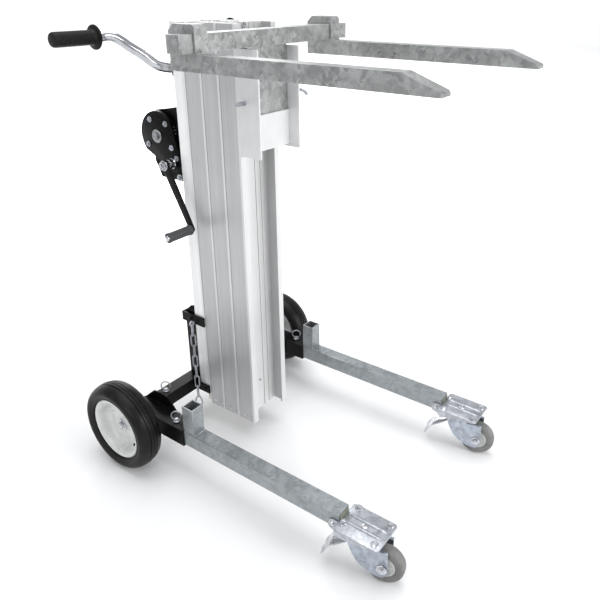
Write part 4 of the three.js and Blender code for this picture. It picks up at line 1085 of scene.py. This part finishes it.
# crank shaft with hexagon drive, collars and nut
bm = bmesh.new()
rod(bm, (-114, SH_Y, SH_Z), (50, SH_Y, SH_Z), 6, 32, 1.4)
prism(bm, [(SH_Y + (24.1 if f > 0.35 else 20.5) * math.cos(2 * math.pi * (i + f) / 17), SH_Z + (24.1 if f > 0.35 else 20.5) * math.sin(2 * math.pi * (i + f) / 17)) for i in range(17) for f in (0, 0.3, 0.42, 0.88)], "x", -54, -48, 0)
lathe(bm, [(0, -67), (13.5, -67), (14, -67.6), (14, -71), (12.4, -72.5), (12.0, -80), (13.0, -81.5), (13.0, -84), (11.5, -85), (0, -85)], (0, SH_Y, SH_Z), "x", 40)
lathe(bm, [(0, -85), (12.6, -85), (12.6, -89.8), (11.6, -90.8), (0, -90.8)], (0, SH_Y, SH_Z), "x", 6, 0.2)
lathe(bm, [(0, -98.4), (13.4, -98.4), (13.8, -99), (13.8, -100), (13.2, -100.5), (0, -100.5)], (0, SH_Y, SH_Z), "x", 40)
lathe(bm, [(0, -100.4), (11.2, -100.4), (11.2, -107), (10.0, -108.6), (0, -108.6)], (0, SH_Y, SH_Z), "x", 6, 0.35)
finish("crank_shaft_bar", bm, CHROME, "crank", 32, ["crank_shaft"])
# crank arm: flat bar with a round boss, tapering to the grip
dy, dz = GRIP_Y - SH_Y, GRIP_Z - SH_Z
L = math.hypot(dy, dz)
uy, uz = dy / L, dz / L
base_a = math.degrees(math.atan2(uz, uy))
outl = arc(SH_Y, SH_Z, 14.5, base_a + 60, base_a + 300, 28) + arc(GRIP_Y, GRIP_Z, 8.8, base_a - 84, base_a + 84, 18)
bm = bmesh.new()
prism(bm, outl, "x", -98, -91.4, 1.4, 3)
rod(bm, (-180, GRIP_Y, GRIP_Z), (-91, GRIP_Y, GRIP_Z), 4, 20)
finish("crank_arm_bar", bm, BLACK_SATIN, "crank", 32, ["crank_arm"])
bm = bmesh.new()
lathe(bm, [(0, -179.4), (7.4, -179.4), (7.6, -180), (7.2, -181.6), (5, -183), (0, -183.4)], (0, GRIP_Y, GRIP_Z), "x", 32)
lathe(bm, [(0, -98), (8, -98), (8.4, -98.4), (8.4, -99.2), (0, -99.2)], (0, GRIP_Y, GRIP_Z), "x", 32)
lathe(bm, [(0, -91.5), (6.4, -91.4), (6.0, -89.6), (4, -88.4), (0, -88)], (0, GRIP_Y, GRIP_Z), "x", 28)
finish("crank_grip_rivet", bm, ZINC_BRIGHT, "crank", 32)
# grip: tapered moulded handle with shallow ridges
prof = [(4.4, -99.6), (11.5, -99.6), (13.6, -101), (14.2, -104), (13.4, -107), (12.3, -110)]
a = -112.0
while a > -168:
    prof += [(12.2, a), (12.8, a - 1.6), (12.8, a - 3.2), (12.2, a - 4.8)]
    a -= 6.0
prof += [(12.8, -172), (13.6, -175), (13.2, -178), (11.6, -179.2), (4.4, -179.3)]
bm = bmesh.new()
lathe(bm, prof, (0, GRIP_Y, GRIP_Z), "x", 48)
finish("crank_grip_moulding", bm, DARKGRIP, "crank_grip", 32, ["crank_grip"])
# winch plate bolts to the mast
bm = bmesh.new()
for sx in (-1, 1):
    for zz in (756, 936):
        hexa(bm, (sx * 30, 226.0, zz), (0, 1, 0), 13, 6, True, 0.2)
finish("winch_plate_bolts", bm, ZINC, "root", 30)


# ------------------------------------------------------------------ carriage and forks
bm = bmesh.new()
# shackle plate that ties the rope to the carriage top
box(bm, -12, 12, 30, 44, 1016, 1026, 1.2, 2)
rod(bm, (0, YR[2] - 24.7, 1022), (0, YR[2] - 24.7, 1036), 4.2, 24, 1)
finish("rope_anchor", bm, ZINC, "carriage", 32)

# lock pin: shank with a collar, wing handle on the far side
bm = bmesh.new()
rod(bm, (-102, -15, 984), (96, -15, 984), 5, 32, 1.6)
lathe(bm, [(5, 76.8), (8.6, 76.8), (9, 77.4), (9, 80.4), (8.2, 81.2), (5, 81.2)], (0, -15, 984), "x", 32)
h = smooth_path([(92, -15, 984), (100, -15, 985), (108, -18, 989), (114, -25, 993), (118, -34, 993), (120, -43, 989), (120, -50, 982)], 44)
sweep(bm, h, lambda i: 4.6 + 0.9 * math.sin(min(1, i / 30) * math.pi), 20)
finish("frame_lock_pin_handle", bm, ZINC, "lock_pin", 36, ["frame_lock_pin"])

# crossbar end caps and welds on the stem
bm = bmesh.new()
box(bm, 285, 291.2, -48.6, -15.4, 1111.4, 1144.6, 1.2, 3)
finish("crossbar_end_plug", bm, GALV_FORK, "carriage", 32)
bm = bmesh.new()
weld_bead(bm, (-69, -26.4, 1110.2), (69, -26.4, 1110.2), 2.4)
for s in (-1, 1):
    weld_bead(bm, (s * 70.3, -14.0, 1111), (s * 70.3, -14.0, 1142), 2.0)
finish("crossbar_welds", bm, GALV_FORK, "carriage", 40)
for nm, s in SIDES:
    xa, xb = sorted((s * 217, s * 253))
    bm = bmesh.new()
    weld_bead(bm, (xa + 2, 21.0 - 1.5, 1106.6), (xb - 2, 21.0 - 1.5, 1106.6), 1.6)
    weld_bead(bm, (xa + 2, -55.8, 1107.6), (xb - 2, -55.8, 1107.6), 1.8)
    finish(f"{nm}_fork_welds", bm, GALV_FORK, f"{nm}_fork", 40)


# ------------------------------------------------------------------ safety chain
def link(bm, c, length, width, r, flat_axis, droop=0.0):
    """stadium link, long axis Z; flat_axis 'x' or 'y' is the direction across"""
    R = (width - 2 * r) / 2
    h = length / 2 - r - R
    pts = []
    for i in range(12):
        t = math.pi * i / 11
        pts.append((R * math.cos(t), h + R * math.sin(t)))
    for i in range(12):
        t = math.pi + math.pi * i / 11
        pts.append((R * math.cos(t), -h + R * math.sin(t)))
    d = LINKDIR[flat_axis]
    sweep(bm, [(c[0] + a * d[0], c[1] + a * d[1], c[2] + z) for a, z in pts], r, 12, closed=True)


LINKDIR = ((0.815, 0.579), (0.579, -0.815))


CX, CY, CZ = -88, 217.5, 337
bm = bmesh.new()
pts = [(CX + 7 * math.cos(2 * math.pi * i / 32), CY, CZ + 7 * math.sin(2 * math.pi * i / 32)) for i in range(32)]
sweep(bm, pts, 2.1, 14, closed=True)
rod(bm, (CX + 8, CY, CZ), (-76.5, CY, CZ), 3, 20)
hexa(bm, (-80.4, CY, CZ), (-1, 0, 0), 9, 2.6, False, 0.2)
finish("chain_eye", bm, ZINC_BRIGHT, "root", 40)
bm = bmesh.new()
z_top = CZ - 3.2
ll, ww, rr = 43.0, 16.5, 2.1
k = 0
zc = z_top - ll / 2 + 3.2
while zc - ll / 2 > 80:
    link(bm, (CX, CY, zc), ll, ww, rr, k % 2)
    zc -= ll - 4 * rr + 0.6
    k += 1
# last, larger ring that drops over the stub of a leg
zt3 = zc + ll / 2
P = []
for i in range(36):
    t = 2 * math.pi * i / 36
    w = 6.0 + 6.2 * (0.5 - 0.5 * math.sin(t)) ** 0.8
    P.append((w * math.cos(t), (zt3 + 46) / 2 + ((zt3 - 46) / 2 - 2.4) * math.sin(t)))
d = LINKDIR[k % 2]
sweep(bm, [(CX + a * d[0], CY + a * d[1], z) for a, z in P], 2.4, 12, closed=True)
finish("safety_chain_links", bm, ZINC, "chain", 50, ["safety_chain"])


# ------------------------------------------------------------------ stage, light
def stage():
    me = bpy.data.meshes.new("floor")
    bm = bmesh.new()
    n = 24
    # floor that rises to a soft backdrop well behind the object
    rows = []
    for i in range(n + 1):
        t = i / n
        if t < 0.6:
            r, z = 14 * t / 0.6, 0.0
        else:
            a = (t - 0.6) / 0.4 * math.pi / 2
            r, z = 14 + 5 * math.sin(a), 5 * (1 - math.cos(a))
        rows.append([bm.verts.new((r * math.cos(2 * math.pi * k / 64), r * math.sin(2 * math.pi * k / 64), z)) for k in range(64)] if r > 0 else [bm.verts.new((0, 0, z))])
    for i in range(n):
        p, q = rows[i], rows[i + 1]
        for k in range(64):
            j = (k + 1) % 64
            if len(p) == 1:
                bm.faces.new((p[0], q[k], q[j]))
            else:
                bm.faces.new((p[k], q[k], q[j], p[j]))
    bm.to_mesh(me); bm.free()
    for p in me.polygons:
        p.use_smooth = True
    o = bpy.data.objects.new("floor", me)
    scene.collection.objects.link(o)
    m, nt, b, tc = new_mat("floor_white")
    n1 = noise(nt, tc.outputs["Object"], 3, 4, 0.5)
    nt.links.new(ramp(nt, n1, [(0.3, (0.86, 0.86, 0.86)), (0.7, (0.90, 0.90, 0.90))]), b.inputs["Base Color"])
    b.inputs["Roughness"].default_value = 0.85
    b.inputs["Specular IOR Level"].default_value = 0.15
    me.materials.append(m)


stage()


def area(name, loc, target, size, power, size_y=None, color=(1, 1, 1)):
    l = bpy.data.lights.new(name, "AREA")
    l.energy = power
    l.size = size
    if size_y:
        l.shape = "RECTANGLE"
        l.size_y = size_y
    l.color = color
    o = bpy.data.objects.new(name, l)
    scene.collection.objects.link(o)
    o.location = loc
    d = Vector(target) - Vector(loc)
    o.rotation_euler = d.to_track_quat("-Z", "Y").to_euler()
    return o


area("key", (0.5, -4.2, 2.0), (0, 0, 0.6), 1.8, 80)
area("front_low", (1.9, -3.4, 0.8), (0, 0, 0.7), 1.6, 12)
area("backdrop", (2.0, 2.4, 6.5), (12, 13, 0.0), 7.0, 2000)
area("left", (-3.6, -0.6, 3.0), (0, 0, 0.7), 1.6, 34)
area("top", (0.3, 0.2, 4.4), (0, 0, 0.4), 3.4, 105)
area("back", (2.6, 3.4, 2.4), (0, 0, 0.6), 2.0, 40)
w = bpy.data.worlds.new("studio")
w.use_nodes = True
bg = w.node_tree.nodes["Background"]
bg.inputs["Color"].default_value = (0.95, 0.97, 1.0, 1)
bg.inputs["Strength"].default_value = 0.60
scene.world = w
scene.view_settings.view_transform = "Standard"
